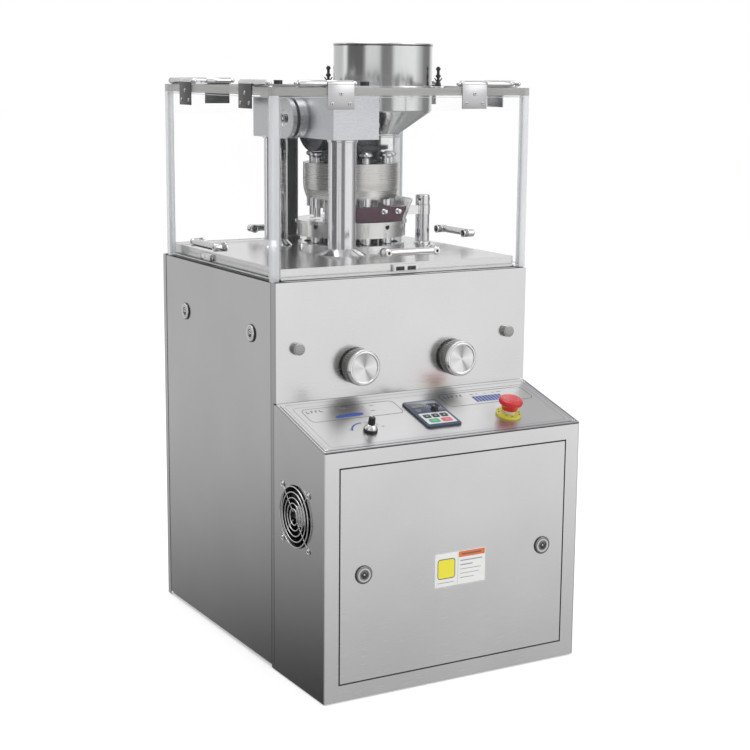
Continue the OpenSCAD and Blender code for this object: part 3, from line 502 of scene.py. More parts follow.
def knurl(depth, of, cut, first=0, last=99):
    """A lathe's bumps. Of every `of` columns those in cut lie lower, on profile rows first to last."""
    return lambda k, j: 1.0 - (depth if first <= j <= last and k % of in cut else 0)


def rounded_profile(pts, r):
    """Cuts the outer corners of a lathe profile so that they catch the light."""
    out = [pts[0]]
    for a, b, c in zip(pts, pts[1:], pts[2:]):
        A, B, C = Vector(a), Vector(b), Vector(c)
        da, dc = (A - B), (C - B)
        q = min(r, da.length * 0.4, dc.length * 0.4)
        ua, uc = da.normalized(), dc.normalized()
        out += [tuple(B + ua * q), tuple(B + (ua + uc) * q * 0.3), tuple(B + uc * q)]
    out.append(pts[-1])
    return out


# Places on the machine, in mm
CABINET_FRONT, UPPER_FRONT = -315, -149.6
SLOPE_LOW, SLOPE_HIGH, SLOPE_DEPTH = 407.6, 452.2, 165.4
SLOPE = math.atan2(SLOPE_HIGH - SLOPE_LOW, SLOPE_DEPTH)
ON_SLOPE = T(0, CABINET_FRONT, SLOPE_LOW) @ Matrix.Rotation(SLOPE, 4, "X")
KNOB = (-132, 51)  # on the slope
ESTOP = ON_SLOPE @ T(132, 53, 0)
FRONT = T(0, UPPER_FRONT, 0) @ R(90, "X")  # local x = X, y = Z, z = out of the upper front
WHEEL_Z = 503.5
TURRET_X, TURRET_Y = 43.5, 120
HOPPER_X, HOPPER_Y = 136, 171
POST_X, POST_Y = 187, 109

# ---------------------------------------------------------------- controls


def screw_head(p, r, h, mat=CHROME):
    """A low head with a cross drawn as black bars on it: painted shade for the cross recess."""
    p.lathe(rounded_profile([(r, 0), (r, h * 0.6), (r * 0.8, h), (0.0, h)], 0.2), mat, 24)
    long, thin = r * 0.62, r * 0.12
    for x, y in ((long, thin), (thin, long)):
        p.box((-x, -y, h - 0.05), (x, y, h + 0.04), BLACK_METAL_AND_SHADE)


def panel_graphics():
    p = Piece("panel_marks")
    p.at(ON_SLOPE)
    z = 0.12
    # Seam of the inset plate, then two printed frames
    ribbon(p, round_rect(-231, 7, 231, 163, 1.5, 2), 0.9, z, INK_LINE)
    for x in (-236.6, 236.6):
        p.box((x - 0.9, 5, 0), (x + 0.9, 163, z), INK)
    p.box((-236.6, 3.4, 0), (236.6, 5.2, z), INK)
    ribbon(p, round_rect(-222, 13, 222, 151, 8), 0.9, z, INK_LINE)
    ribbon(p, round_rect(-211, 98, -42, 143, 9), 1.1, z, INK)
    ribbon(p, round_rect(46, 99, 214, 144, 9), 1.1, z, INK)
    # Generic marks in place of lettering
    for x0, widths in ((-205, (7, 6, 6, 7)), (53, (7, 5, 8, 6, 6))):
        x = x0
        for w in widths:
            p.box((x, 129.5, 0), (x + 1.6, 136.5, z), INK)
            p.box((x, 129.5 if w % 2 else 134.9, 0), (x + w - 2, 131.1 if w % 2 else 136.5, z), INK)
            x += w + 1.6
    dashes = ((-141, 134, 7), (-122, 134, 3), (-103, 134, 3), (-89, 134, 7), (-96, 116, 8),
              (106, 134, 6), (118, 134, 3), (134, 134, 3), (150, 134, 3), (160, 134, 8))
    for x, s, w in dashes:
        p.box((x, s - 1.1, 0), (x + w, s + 1.1, z), INK_LINE)
    # Rising bar on the left, stepped bars on the right
    swell = [(-166, 107), (-162, 104), (-122, 104), (-113, 107.5), (-114, 113.5), (-126, 115), (-160, 112)]
    p.prism(swell, 0, z, INK_BLUE)
    for k in range(9):
        x = 104 + k * 6.4
        p.prism([(x, 106), (x + 5.0, 106), (x + 5.0, 126), (x, 126)], 0, z, INK_BLUE)
    ribbon(p, arc_pts(*KNOB, 29, 92, 165, 14), 3.0, z, INK_BLUE, closed=False)
    ribbon(p, arc_pts(*KNOB, 29, 34, 84, 14), 1.0, z, INK_BLUE, closed=False)
    for a in (20, 160):
        q = arc_pts(*KNOB, 31, a, a, 1)[0]
        p.box((q[0] - 2, q[1] - 0.8, 0), (q[0] + 2, q[1] + 0.8, z), INK)
    p.done("frame", "navy_plastic")
    s = Piece("panel_screws")
    for x in (-233, 233):
        for y in (7.5, 160):
            s.at(ON_SLOPE @ T(x, y, 0))
            screw_head(s, 3.2, 1.0)
    s.done("frame", "lock_metal")


def keypad():
    p = Piece("keypad_unit")
    w, l = 64, 89
    p.at(ON_SLOPE @ T(-1, 81, 0))
    p.prism(round_rect(-w / 2, -l / 2, w / 2, l / 2, 3.5), 0, 3.4, NAVY, 0.8)
    p.box((-25.5, -37.5, -110), (25.5, 37.5, 0.01), NAVY, 1.0)
    p.prism(round_rect(-w / 2 + 4, 2, w / 2 - 4, l / 2 - 4.5, 2.5), 3.3, 3.75, DISPLAY, 0.2)
    p.prism(round_rect(-w / 2 + 5, -l / 2 + 7, w / 2 - 5, 0, 2.0), 3.3, 3.7, FILM, 0.15)
    # Number window, tick ring and small legends
    p.prism(round_rect(-25, 20, -4, 32, 1.5), 3.7, 3.8, BLACK)
    for k in range(4):
        x = -23 + k * 5
        for y0, y1 in ((21.7, 25.6), (26.4, 30.3)):
            p.box((x, y0, 3.8), (x + 0.6, y1, 3.86), WHITE)
            p.box((x + 2.6, y0, 3.8), (x + 3.2, y1, 3.86), WHITE)
    for k in range(11):
        a = 225 - k * 27
        tick = [arc_pts(10, 15, r, a, a, 1)[0] for r in (9.0, 10.6)]
        ribbon(p, tick, 0.5, 3.82, WHITE, closed=False)
    for k in range(3):
        p.box((-24, 14 - k * 3.6, 3.7), (-12 - k * 2, 15.2 - k * 3.6, 3.8), INK_LINE)
    for x in (-16, 0, 16):
        p.prism(round_rect(x - 6.2, -17, x + 6.2, -6, 1.6), 3.6, 4.5, KEY, 0.3)
        p.box((x - 2.2, -12.2, 4.5), (x + 2.2, -11.2, 4.56), WHITE)
        p.box((x - 0.5, -13.6, 4.5), (x + 0.5, -9.8, 4.56), WHITE)
    p.prism(round_rect(-20, -33.5, -2, -22, 1.8), 3.6, 4.5, GREEN, 0.3)
    p.prism(round_rect(3, -33.5, 21, -22, 1.8), 3.6, 4.5, KEY_RED, 0.3)
    p.box((-14, -28.3, 4.5), (-8, -27.3, 4.56), WHITE)
    p.box((9, -28.3, 4.5), (15, -27.3, 4.56), WHITE)
    p.done("frame", "navy_plastic", "inverter")
    d = Piece("keypad_dial_knob")
    d.at(ON_SLOPE @ T(9, 90, 0))
    cap = rounded_profile([(6.6, 4.3), (6.6, 5.4), (5.6, 6.2), (5.2, 10.3), (0.0, 10.3)], 0.5)
    d.lathe([(0, -3), (2, -3), (2, 4.3)] + cap, BLACK, 48, knurl(0.035, 4, (0, 1), 4))
    d.box((-0.5, 0.5, 10.25), (0.5, 4.6, 10.45), WHITE)
    d.done("keypad_dial", "black_plastic", "keypad_dial")


def speed_knob():
    p = Piece("speed_knob_turned")
    p.at(ON_SLOPE @ T(*KNOB, 0))
    base = rounded_profile([(11.5, 0.4), (11.5, 4.2), (10.6, 5.0)], 0.5)
    p.lathe([(0, -18), (3, -18), (3, 0.4)] + base, BLACK, 64)
    skirt = rounded_profile([(10.9, 4.9), (10.9, 6.2), (9.3, 9.2), (6.6, 12.1), (5.0, 12.2)], 0.4)
    p.lathe(skirt, CHROME, 64, knurl(0.03, 4, (0, 1), 0, 3))
    grip = rounded_profile([(5.7, 12.0), (5.9, 13.0), (5.3, 23.4), (4.4, 24.5), (0.0, 24.5)], 0.5)
    p.lathe(grip, BLACK, 48, knurl(0.05, 4, (0, 1)))
    p.box((-0.7, 0.5, 24.4), (0.7, 5.0, 24.65), WHITE)
    p.box((-0.7, 5.15, 15), (0.7, 5.75, 24.5), WHITE)
    p.done("speed_knob", "black_plastic", "speed_knob")


def estop():
    p = Piece("estop_mushroom")
    p.at(ESTOP)
    p.lathe([(0, -26), (10, -26), (10, 10)], WHITE, 48)
    mushroom = [(10, 9.4), (13, 9.4), (13.6, 12.5), (14.6, 15.2), (15.6, 17.4), (17.6, 18.6), (19.6, 20.2),
                (20, 22.4), (20, 26.0), (18.6, 28.2), (15, 29.3), (8, 29.5), (0.0, 29.5)]
    p.lathe(rounded_profile(mushroom, 0.7), RED, 72)
    # Turn-to-release arrows, as plain arcs
    for a in (20, 140, 260):
        ribbon(p, arc_pts(0, 0, 12.5, a, a + 70, 10), 1.1, 29.62, RED_MARK, closed=False)
        q = arc_pts(0, 0, 12.5, a + 76, a + 76, 1)[0]
        c, s = math.cos(math.radians(a + 70)), math.sin(math.radians(a + 70))
        p.prism([(14.9 * c, 14.9 * s), q, (10.1 * c, 10.1 * s)], 29.5, 29.62, RED_MARK)
    p.done("estop_button", "red_plastic", "estop_button")
    r = Piece("estop_ring")
    r.at(ESTOP)
    disc = rounded_profile([(10.4, 4.0), (10.4, 4.25), (20.6, 4.25), (21.8, 3.2), (21.8, 0.0)], 0.3)
    r.lathe(disc, YELLOW, 72)
    for k in range(12):
        a = k * 30 + 8
        if k % 3:
            ribbon(r, arc_pts(0, 0, 18, a, a + 14, 4), 2.2, 4.32, INK, closed=False)
    for a in (10, 100, 190, 280):
        r.at(ESTOP @ R(a, "Z"))
        r.box((10.2, -2.2, 4.2), (12.6, 2.2, 4.36), WHITE, 0.05)
    r.done("frame", "red_plastic")


def handwheel(name, x, node):
    p = Piece(name)
    place = FRONT @ T(x, WHEEL_Z, 0)
    p.at(place)
    p.lathe([(24.5, 1.0), (24.5, 6.2)], BRIGHT, 72)
    p.lathe([(24.6, 1.0), (0.0, 1.0)], BRIGHT, 72)
    # The knurled grip is the darker chrome: painted shade in the knurl.
    grip = rounded_profile([(24.5, 6.0), (29.4, 6.0), (30.4, 7.2), (30.4, 22.5), (29.6, 23.6)], 0.5)
    p.lathe(grip, CHROME_SHADED, 160, knurl(0.024, 4, (0, 1), 3, 9))
    rim = [(29.6, 23.4), (30.0, 24.2), (29.4, 27.4), (27.0, 29.7), (24.4, 29.9), (23.9, 28.6), (23.2, 28.4)]
    p.lathe(rounded_profile(rim, 0.4), CHROME, 120)
    p.lathe([(8, 1.0), (8, -110), (0, -110)], STEEL, 48)
    p.done(node, "polished_steel", node)
    f = Piece(name + "_face")
    f.at(place)
    # The face's colour holds a painted reflection: light and dark sectors fanning round the wheel's centre.
    face = turned_face_with_painted_reflection(name + "_turned", (0.88, 0.88, 0.88), 0.22, (x / 1000, 0, WHEEL_Z / 1000))
    f.lathe([(23.6, 28.0), (23.6, 28.3), (0.0, 28.3)], face, 96)
    f.done(node, "polished_steel")


def thumb_screws():
    p = Piece("thumb_screws")
    for x in (-202, 202):
        p.at(FRONT @ T(x, 539.5, 0))
        p.lathe([(7, 0), (7, 2.0)], BLACK_METAL_AND_SHADE, 32)
        # The knurled grip and the grooves on the face are the darker chrome: painted shade.
        grip = rounded_profile([(7, 1.8), (10.2, 1.8), (10.2, 8.2), (9.2, 9.2)], 0.5)
        p.lathe(grip, CHROME_SHADED, 72, knurl(0.05, 2, (1,), 3, 7))
        p.lathe(rounded_profile([(9.3, 9.0), (9.3, 9.6), (8.6, 10.2), (0.0, 10.2)], 0.3), THUMB, 48)
        for q in (-6, -3, 0, 3, 6):
            w = math.sqrt(81 - q * q) - 1.2
            p.box((-w, q - 0.3, 10.15), (w, q + 0.3, 10.32), CHROME_SHADED)
    p.done("frame", "lock_metal")


# ---------------------------------------------------------------- cabinet details


def label_plate():
    p = Piece("door_label")
    p.at(T(9.2, CABINET_FRONT, 189.5) @ R(90, "X"))
    p.prism(round_rect(-49.5, -29.5, 49.5, 29.5, 1.5), 0.0, 0.5, WHITE, 0.1)
    ribbon(p, round_rect(-48.6, -28.6, 48.6, 28.6, 1.0), 0.7, 0.56, INK_LINE)
    ribbon(p, [(-4.5, -28), (-4.5, 28)], 0.5, 0.56, INK_LINE, closed=False)
    # A plain yellow block, an orange strip and grey bars, with no symbol or lettering
    p.prism(round_rect(-42, -14, -11, 17, 4), 0.5, 0.6, LABEL_YELLOW)
    ribbon(p, round_rect(-42.6, -14.6, -10.4, 17.6, 4.4), 1.4, 0.62, INK)
    p.prism(round_rect(-3, 17.5, 47, 27, 1.2), 0.5, 0.6, ORANGE)
    ribbon(p, [(3, 22.2), (40, 22.2)], 2.2, 0.64, INK, closed=False)
    for k, w in enumerate((42, 24, 40, 36, 26)):
        y = 11.5 - k * 7.2
        ribbon(p, [(0, y), (w, y)], 1.9 if k < 2 else 1.1, 0.58, INK_LINE, closed=False)
    ribbon(p, [(-43, -21.5), (-12, -21.5)], 1.1, 0.58, INK_LINE, closed=False)
    p.done("electrical_door", "stainless_plate")


# Each lock's name, its place with local z out of the sheet, the sheet's body and the barrel's body
LOCKS = (
    ("left_front", T(-239.5, -57.5, 554.5) @ R(-90, "Y"), "left_side_panel", "left_lock_front"),
    ("left_rear", T(-239.5, 213, 554.5) @ R(-90, "Y"), "left_side_panel", "left_lock_rear"),
    ("door_left", T(-170, CABINET_FRONT, 204.5) @ R(90, "X"), "electrical_door", "door_lock_left"),
    ("door_right", T(170, CABINET_FRONT, 204.5) @ R(90, "X"), "electrical_door", "door_lock_right"),
)


def lock_faces():
    """Bezels on the sheets and key barrels on the lock bodies."""
    for name, m, body, _ in LOCKS:
        p = Piece("bezel_" + name)
        p.at(m)
        # The bezel's outer wall is black all round: painted shade on its side.
        p.lathe(rounded_profile([(15.0, 0.0), (15.0, 1.6), (14.2, 2.2)], 0.3), BLACK_METAL_AND_SHADE, 64)
        # The door locks' rings are the darker chrome: painted shade.
        ring = CHROME if name.startswith("left") else CHROME_SHADED
        p.lathe(rounded_profile([(14.3, 1.9), (13.6, 3.0), (12.2, 3.2), (9.4, 2.7),
                                 (8.4, 3.15), (7.1, 3.15), (7.1, 0.2)], 0.35), ring, 64)
        p.done(body, "lock_metal")
    for name, m, _, body in LOCKS:
        if name == "door_right":
            m = m @ R(180, "Z")
        p = Piece("barrel_" + name)
        p.at(m)
        key_mat = BLACK_METAL_AND_SHADE if body.startswith("left") else LOCK
        p.lathe(rounded_profile([(6.9, -9), (6.9, 2.1), (6.2, 2.7), (0.0, 2.7)], 0.3), key_mat, 48)
        if body.startswith("door"):
            # The square key slot is a black square on the face: painted shade in the slot.
            p.at(m @ R(45, "Z"))
            p.box((-4.1, -4.1, 2.5), (4.1, 4.1, 2.86), BLACK_METAL_AND_SHADE, 0.1)
            p.at(m)
            p.lathe(rounded_profile([(1.5, 2.6), (1.5, 3.1), (0, 3.15)], 0.3), CHROME, 24)
        else:
            ribbon(p, arc_pts(0, 0, 4.6, -60, 130, 24), 2.0, 2.86, CHROME, closed=False)
            p.box((-1.2, -5.6, 2.6), (1.2, 2.4, 2.86), CHROME, 0.05)
        p.box((-5, -5, -11), (21, 5, -9), STEEL, 0.4)
        p.done(body, "lock_metal", body)


def fan():
    fy, fz, x0 = -219.5, 283.5, -238
    bore, half, thick, n = 50, 53, 36, 96
    p = Piece("fan_body")
    # Housing: a square frame with a round bore
    m = T(x0, fy, fz) @ R(90, "Y") @ R(90, "Z")  # local z = +X
    p.at(m)
    square = [(x * half / max(abs(x), abs(y)), y * half / max(abs(x), abs(y))) for x, y, _ in circle(1, n)]
    inner, outer = ([[p.vert((x, y, z)) for x, y, *_ in ring] for z in (0, thick)]
                    for ring in (circle(bore, n), square))
    rings = (outer[0], inner[0], inner[1], outer[1])
    for a, b in zip(rings, rings[1:] + rings[:1]):
        p.band(a, b, BLACK)
    p.lathe([(20, 29), (20, 36), (0, 36)], BLACK, 48)
    p.lathe([(0, 29), (20, 29)], BLACK, 48)
    for a in range(45, 360, 90):
        p.at(m @ R(a, "Z"))
        p.box((19, -3, 30), (51.5, 3, 36), BLACK, 0.5)
    # Finger guard: rings, cross wires and corner loops
    g = Piece("fan_guard")
    for r in (13, 22, 31, 40, 49):
        g.at(T(-244, fy, fz) @ R(90, "Y"))
        g.tube(circle(r, 72), 1.0, CHROME, 10, True)
    for a in range(45, 360, 90):
        c, s = math.cos(math.radians(a)), math.sin(math.radians(a))
        g.at(T(-242.2, fy, fz))
        wire = ((0.6, 10), (0.6, 30), (0.6, 49), (1.0, 54), (1.2, 58.5))
        g.tube([(x, c * t, s * t) for x, t in wire], 1.0, CHROME, 10)
        g.at(T(-240, fy + 44.5 * math.copysign(1, c), fz + 44.5 * math.copysign(1, s)) @ R(-90, "Y"))
        g.tube(circle(5.0, 24, 1.2), 0.9, CHROME, 8, True)
        screw_head(g, 3.4, 3.0)
        g.lathe([(2.1, 0.2), (2.1, -3)], STEEL, 16)
    g.done("frame", "polished_steel")
    p.done("frame", "black_plastic", "fan_housing")
    # Foil plate on the rotor's hub, turning with it
    h = Piece("fan_hub_plate")
    h.at(T(-232, fy, fz) @ R(-90, "Y"))
    h.lathe(rounded_profile([(17.5, 0.02), (17.5, 0.5), (0, 0.5)], 0.2), FOIL, 64)
    ribbon(h, arc_pts(0, 0, 12, 0, 345, 40), 1.6, 0.56, INK_LINE, closed=False)
    ribbon(h, arc_pts(0, 0, 7, 20, 330, 30), 1.2, 0.56, INK_LINE, closed=False)
    h.done("fan_rotor", "black_plastic")


def vents_and_inlet():
    p = Piece("cable_inlet_gland")
    p.at(T(-150, 315, 90) @ R(-90, "X"))
    p.lathe(rounded_profile([(13.1, 0.0), (13.1, 4.45), (7.15, 4.55), (7.1, 0.0)], 0.3), BLACK, 48)
    p.done("frame", "black_plastic")
    s = Piece("rear_screws")
    for x in (-228, 228):
        for z in (14, 210, 420, 632):
            s.at(T(x, 315, z) @ R(-90, "X"))
            screw_head(s, 4.2, 1.3)
    for y in (-127 + 16, 285):
        for z in (24, 330, 629.5):
            s.at(T(241.2, y, z) @ R(90, "Y"))
            screw_head(s, 4.55, 0.35)
    s.done("frame", "lock_metal")


# ---------------------------------------------------------------- head, columns and turret


def head_details():
    p = Piece("head_fixings")
    # Dark bolt in the end of the roll shaft, and a black band for the neck of the boss behind the arm:
    # painted shade in that groove
    p.at(T(-90, 120, 895.4) @ R(-90, "Y"))
    p.lathe(rounded_profile([(7.2, -0.5), (7.2, 2.2), (6.2, 3.1), (0, 3.1)], 0.4), BLACK_METAL_AND_SHADE, 32)
    p.lathe([(3.0, 3.14), (0.0, 3.14)], CHROME, 6)
    p.lathe([(27.2, -13.9), (27.2, -8.1)], BLACK_METAL_AND_SHADE, 72)
    for x, y in ((-50, 0), (2, 0), (-50, 225), (2, 225)):
        p.at(T(x, y, 953))
        p.lathe(rounded_profile([(8, 0), (8, 7), (4, 7), (3.9, 5), (0, 5)], 0.5), BLACK_METAL_AND_SHADE, 32)
    p.done("frame", "dark_steel")
    q = Piece("column_details")
    for (x, y), r in (((-31, 17), 24.5), ((-68, 199), 21)):
        q.at(T(x, y, 0))
        ring = rounded_profile([(r + 0.1, 858), (r + 2.2, 858), (r + 2.2, 862.9), (r, 862.9)], 0.3)
        q.lathe(ring, BRIGHT, 72)
    # A rear column, black all over: a painted reflection of the dark surroundings it mirrors.
    q.at(T(-16, 242, 0))
    q.lathe(rounded_profile([(13.2, 667), (13.2, 862.5)], 0.3), BLACK_METAL_AND_SHADE, 48)
    q.lathe(rounded_profile([(13.3, 680), (17.3, 676.5), (17.4, 666.7)], 0.3), BLACK_METAL_AND_SHADE, 48)
    q.done("frame", "dark_steel")


def turret_details():
    p = Piece("die_screws")
    for k in range(9):
        p.at(T(TURRET_X, TURRET_Y, 708) @ R(202 + k * 40, "Z") @ T(98.0, 0, 0) @ R(90, "Y"))
        socket = [(4.4, -0.2), (4.4, 0.1), (3.6, 0.1), (3.5, -2.5), (2.2, -2.5), (2.1, -5), (0.0, -5)]
        p.lathe(socket, BLACK_METAL_AND_SHADE, 24)
    p.done("turret", "dark_steel")
    # Bright ring on the fixed collar round the turret
    q = Piece("collar_ring")
    q.at(T(TURRET_X, TURRET_Y, 0))
    lip = [(84.2, 674.0), (84.2, 675.4), (84.9, 676.1), (95.4, 676.1), (96.1, 675.4), (96.1, 666.7)]
    q.lathe(lip, COLLAR, 160)
    q.done("frame", "polished_steel")


def feeder():
    low = 717.35
    p = Piece("feed_plate_body")
    p.at(T(8, 37, low) @ R(90, "X"))
    p.prism([(0, 0), (90, 0), (97, 25.5), (0, 25.5)], 0, 5, PHENOLIC, 0.5)
    for x in (60, 88):
        p.at(T(x, 32, low + 18) @ R(90, "X"))
        p.lathe([(2.5, -1), (2.5, 5)], STEEL, 24)
        p.ball((0, 0, 8), 4.2, CHROME, 32)
        p.lathe(rounded_profile([(2.5, 0.1), (4.6, 0.1), (4.6, 1.3), (2.5, 1.3)], 0.3), CHROME, 24)
    p.done("frame", "phenolic", "feed_plate")
    q = Piece("feeder_post_details")
    q.at(T(POST_X, POST_Y, 0))
    head = [(9, 756.2), (12.6, 756.2), (13.2, 754.6), (13.2, 738.0), (12.4, 737.1), (9, 737.1)]
    q.lathe(rounded_profile(head, 0.4), CHROME, 96)
    for z0, z1 in ((701, 720.6), (682, 699)):
        nut = [(10.4, z0), (11.4, z0), (11.8, z0 + 1), (11.8, z1 - 1), (11.4, z1), (10.4, z1)]
        q.lathe(rounded_profile(nut, 0.3), STEEL, 96, knurl(0.035, 2, (1,), 3))
    q.lathe(rounded_profile([(15.5, 666.7), (15.5, 669.5), (11, 671.5)], 0.3), CHROME, 64)
    for a in (215, 305, 35):
        q.at(T(POST_X, POST_Y, 748) @ R(a, "Z") @ T(13.2, 0, 0) @ R(90, "Y"))
        q.lathe([(2.4, 0.06), (0.0, 0.06)], BLACK_METAL_AND_SHADE, 20)
    q.done("frame", "polished_steel")


def hopper():
    p = Piece("hopper_shell")
    p.at(T(HOPPER_X, HOPPER_Y, 0))
    rad, wall, outlet = 90.0, 1.5, 33.0
    top, shoulder, mouth = 1026.5, 906.0, 864.0  # rim, and the cone's upper and lower ends
    outside = [(outlet - wall, mouth), (outlet, mouth), (outlet + 1, mouth + 2.5),
               (rad - 1.6, shoulder - 1.6), (rad - 0.25, shoulder + 1.0), (rad, shoulder + 3),
               (rad, top - 3.2), (rad + 0.8, top - 2.9), (rad + 1.2, top - 2.0), (rad + 1.2, top - 0.8),
               (rad + 0.6, top)]
    inside = [(rad - wall + 0.3, top), (rad - wall, top - 0.6), (rad - wall, shoulder + 2.5),
              (rad - wall - 1.2, shoulder - 0.4), (outlet - wall, mouth + 1), (outlet - wall, mouth)]
    p.lathe(outside + inside, HOPPER, 160)
    # Painted shadow: a black line under the rolled rim. Then the flange ring with two ears, clamp studs and
    # wing nuts
    p.lathe([(rad + 0.1, top - 4.6), (rad + 0.3, top - 3.1)], BLACK_METAL_AND_SHADE, 160)
    z0, z1 = 948.3, 951.3
    flange = [(rad - 0.4, z0), (rad + 2.5, z0), (rad + 2.5, z1), (rad - 0.4, z1 + 0.2)]
    p.lathe(rounded_profile(flange, 0.4), BRIGHT, 128)
    for sx, sy in ((211, 100), (62, 243)):
        p.at(T(sx, sy, 0))
        p.lathe(rounded_profile([(0, z0), (15, z0), (15, z1), (0, z1 + 0.05)], 0.4), BRIGHT, 48)
        p.lathe([(2.6, z1 - 0.5), (2.6, 985.4), (2.0, 986), (0, 986)], BLACK_METAL_AND_SHADE, 24)
        p.lathe(rounded_profile([(2.6, z1), (5.5, z1), (4.4, z1 + 7), (2.6, z1 + 7)], 0.5), BLACK_METAL_AND_SHADE, 32)
        p.lathe(rounded_profile([(2.5, 966), (4.6, 967.5), (4.6, 971), (2.5, 972.5)], 0.5), BLACK_METAL_AND_SHADE, 32)
        p.lathe(rounded_profile([(2.5, 979), (4.2, 980), (4.2, 983.5), (2.5, 984.5)], 0.5), BLACK_METAL_AND_SHADE, 32)
        for a in (0, 180):
            p.at(T(sx, sy, 0) @ R(a + 25, "Z"))
            p.tube([(3, 0, 959), (6, 0, 961), (9, 0, 963), (11.5, 0, 965)], 1.2, BLACK_METAL_AND_SHADE, 10)
    # Cone fitting on the front
    p.at(T(HOPPER_X, HOPPER_Y, 884) @ R(-130, "Z") @ T(56, 0, 0) @ R(62, "Y"))
    p.lathe(rounded_profile([(6, -6), (6, 3), (3.4, 4.5), (3.4, 9), (0, 9)], 0.5), CHROME, 32)
    p.done("hopper", "polished_steel", "hopper")


# ---------------------------------------------------------------- guard

GX, GF, GR = 242.2, -142.7, 289.6  # the guard's half width, front and rear
MID = (GF + GR) / 2
BAR = 12.0  # width of a post or rail
INSET = 12.8  # from the guard's corner to a door's edge
HINGE_Y, HINGE_Z, LEAF_HALF = 3.5, 958, 24
HANDLE_Z, HANDLE_HALF = 687, 46
# Each side's place, the middles of its two hinge leaves and of its handle, and half its door's width
SIDES = {
    "front": (T(0, GF, 0), [-121.5, 130.5], 3, GX - INSET),
    "rear": (T(0, GR, 0) @ R(180, "Z"), [-140, 140], 20, GX - INSET),
    "left": (T(-GX, MID, 0) @ R(-90, "Z"), [MID - 193.3, MID + 48.5], -5, (GR - GF) / 2 - INSET),
    "right": (T(GX, MID, 0) @ R(90, "Z"), [-37.5 - MID, 184 - MID], 31, (GR - GF) / 2 - INSET),
}


def door_parts(side):
    m, leaves, handle, h = SIDES[side]
    body = side + "_door"
    p = Piece(side + "_door_hardware")
    # Bar handle on two knurled bosses
    for s in (-1, 1):
        p.at(m @ T(handle + s * HANDLE_HALF, -0.5, HANDLE_Z) @ R(90, "X"))
        p.lathe(rounded_profile([(6.0, 0), (7.6, 0), (7.6, 2.2), (6.2, 3.0)], 0.3), CHROME, 48)
        # The knurled boss is the darker chrome: painted shade in the knurl.
        boss = rounded_profile([(6.2, 2.8), (7.1, 3.6), (7.1, 8.4), (6.2, 9.0)], 0.4)
        p.lathe(boss, CHROME_SHADED, 72, knurl(0.05, 3, (0,)))
        cap = rounded_profile([(6.2, 9.0), (7.0, 9.8), (7.0, 21.6), (5.8, 23.4), (0, 23.4)], 0.5)
        p.lathe(cap, CHROME, 72)
        p.lathe([(2.6, 23.45), (0, 23.45)], BLACK_METAL_AND_SHADE, 20)
    p.at(m @ T(handle - HANDLE_HALF, -17, HANDLE_Z) @ R(90, "Y"))
    p.lathe([(6.3, 0), (6.3, 2 * HANDLE_HALF)], BRIGHT, 40)
    # Leaves on the rear and left sides get the near-black copy: painted shade for the sides away from the
    # light.
    leaf_mat = LEAF if side in ("front", "right") else LEAF_SHADED
    for x in leaves:
        p.at(m)
        p.box((x - LEAF_HALF, -2.5, 917.5), (x + LEAF_HALF, -0.5, 956.5), leaf_mat, 0.35)
        p.at(m @ T(x - LEAF_HALF, HINGE_Y, HINGE_Z) @ R(90, "Y"))
        p.lathe(rounded_profile([(2.6, 0), (5.5, 0), (5.5, 48), (2.6, 48)], 0.5), CHROME, 40)
        for dx, z in ((0, 942), (-16, 926), (16, 926)):
            p.at(m @ T(x + dx, -2.5, z) @ R(90, "X"))
            screw_head(p, 3.4, 0.9, STEEL)
    p.done(body, "polished_steel", side + "_door_fittings")
    # Painted highlight along the clear sheet's polished edges, where the acrylic gathers light
    e = Piece(side + "_door_edges")
    e.at(m)
    zl, zh, y0, y1 = 668.6 if side == "rear" else 652, 937, -0.52, 4.52
    for lo, hi in (((-h - 0.02, y0, zl), (-h + 1.1, y1, zh)), ((h - 1.1, y0, zl), (h + 0.02, y1, zh)),
                   ((-h, y0, zl - 0.02), (h, y1, zl + 1.1)), ((-h, y0, zh - 1.1), (h, y1, zh + 0.02))):
        e.box(lo, hi, ACRYLIC_EDGE_HIGHLIGHT, 0.2)
    e.done(body, "clear_acrylic")


def rail_hinges():
    p = Piece("rail_hinges")
    for m, leaves, *_ in SIDES.values():
        for leaf, s in zip(leaves, (-1, 1)):
            x = leaf + s * 49
            end, far = leaf - s * 28, x + s * 28
            p.at(m)
            p.box((x - LEAF_HALF, HINGE_Y, 951.8), (x + LEAF_HALF, 11.5, 953.8), CHROME, 0.35)
            p.at(m @ T(x - LEAF_HALF, HINGE_Y, HINGE_Z) @ R(90, "Y"))
            p.lathe(rounded_profile([(2.4, 0), (5.5, 0), (5.5, 48), (2.4, 48)], 0.5), BRIGHT, 40)
            p.at(m @ T(min(end, far), HINGE_Y, HINGE_Z) @ R(90, "Y"))
            p.lathe([(2.5, 0), (2.5, abs(far - end))], STEEL, 24)
            p.at(m)
            for q in (end, far):
                p.ball((q, HINGE_Y, HINGE_Z), 4.0, BRIGHT, 28)
            for dx in (-16, 16):
                p.at(m @ T(x + dx, 8.6, 953.8))
                screw_head(p, 2.6, 0.8, STEEL)
    p.done("frame", "polished_steel", "hinge_brackets")


def guard_bars():
    """Clear bars: posts with bright faces, and slightly smoky top rails."""
    p = Piece("guard_bars")
    zl, zh = 939.0, 951.8
    for x in (-GX, GX - BAR):
        for y in (GF, GR - BAR):
            p.box((x, y, 647.5), (x + BAR, y + BAR, zl), ACRYLIC_BAR, 0.5)
    for y in (GF, GR - BAR):
        p.box((-GX, y, zl), (GX, y + BAR, zh), ACRYLIC_RAIL, 0.5)
    for x in (-GX, GX - BAR):
        p.box((x, GF + BAR, zl), (x + BAR, GR - BAR, zh), ACRYLIC_RAIL, 0.5)
    p.done("frame", "clear_acrylic", "guard_frame")


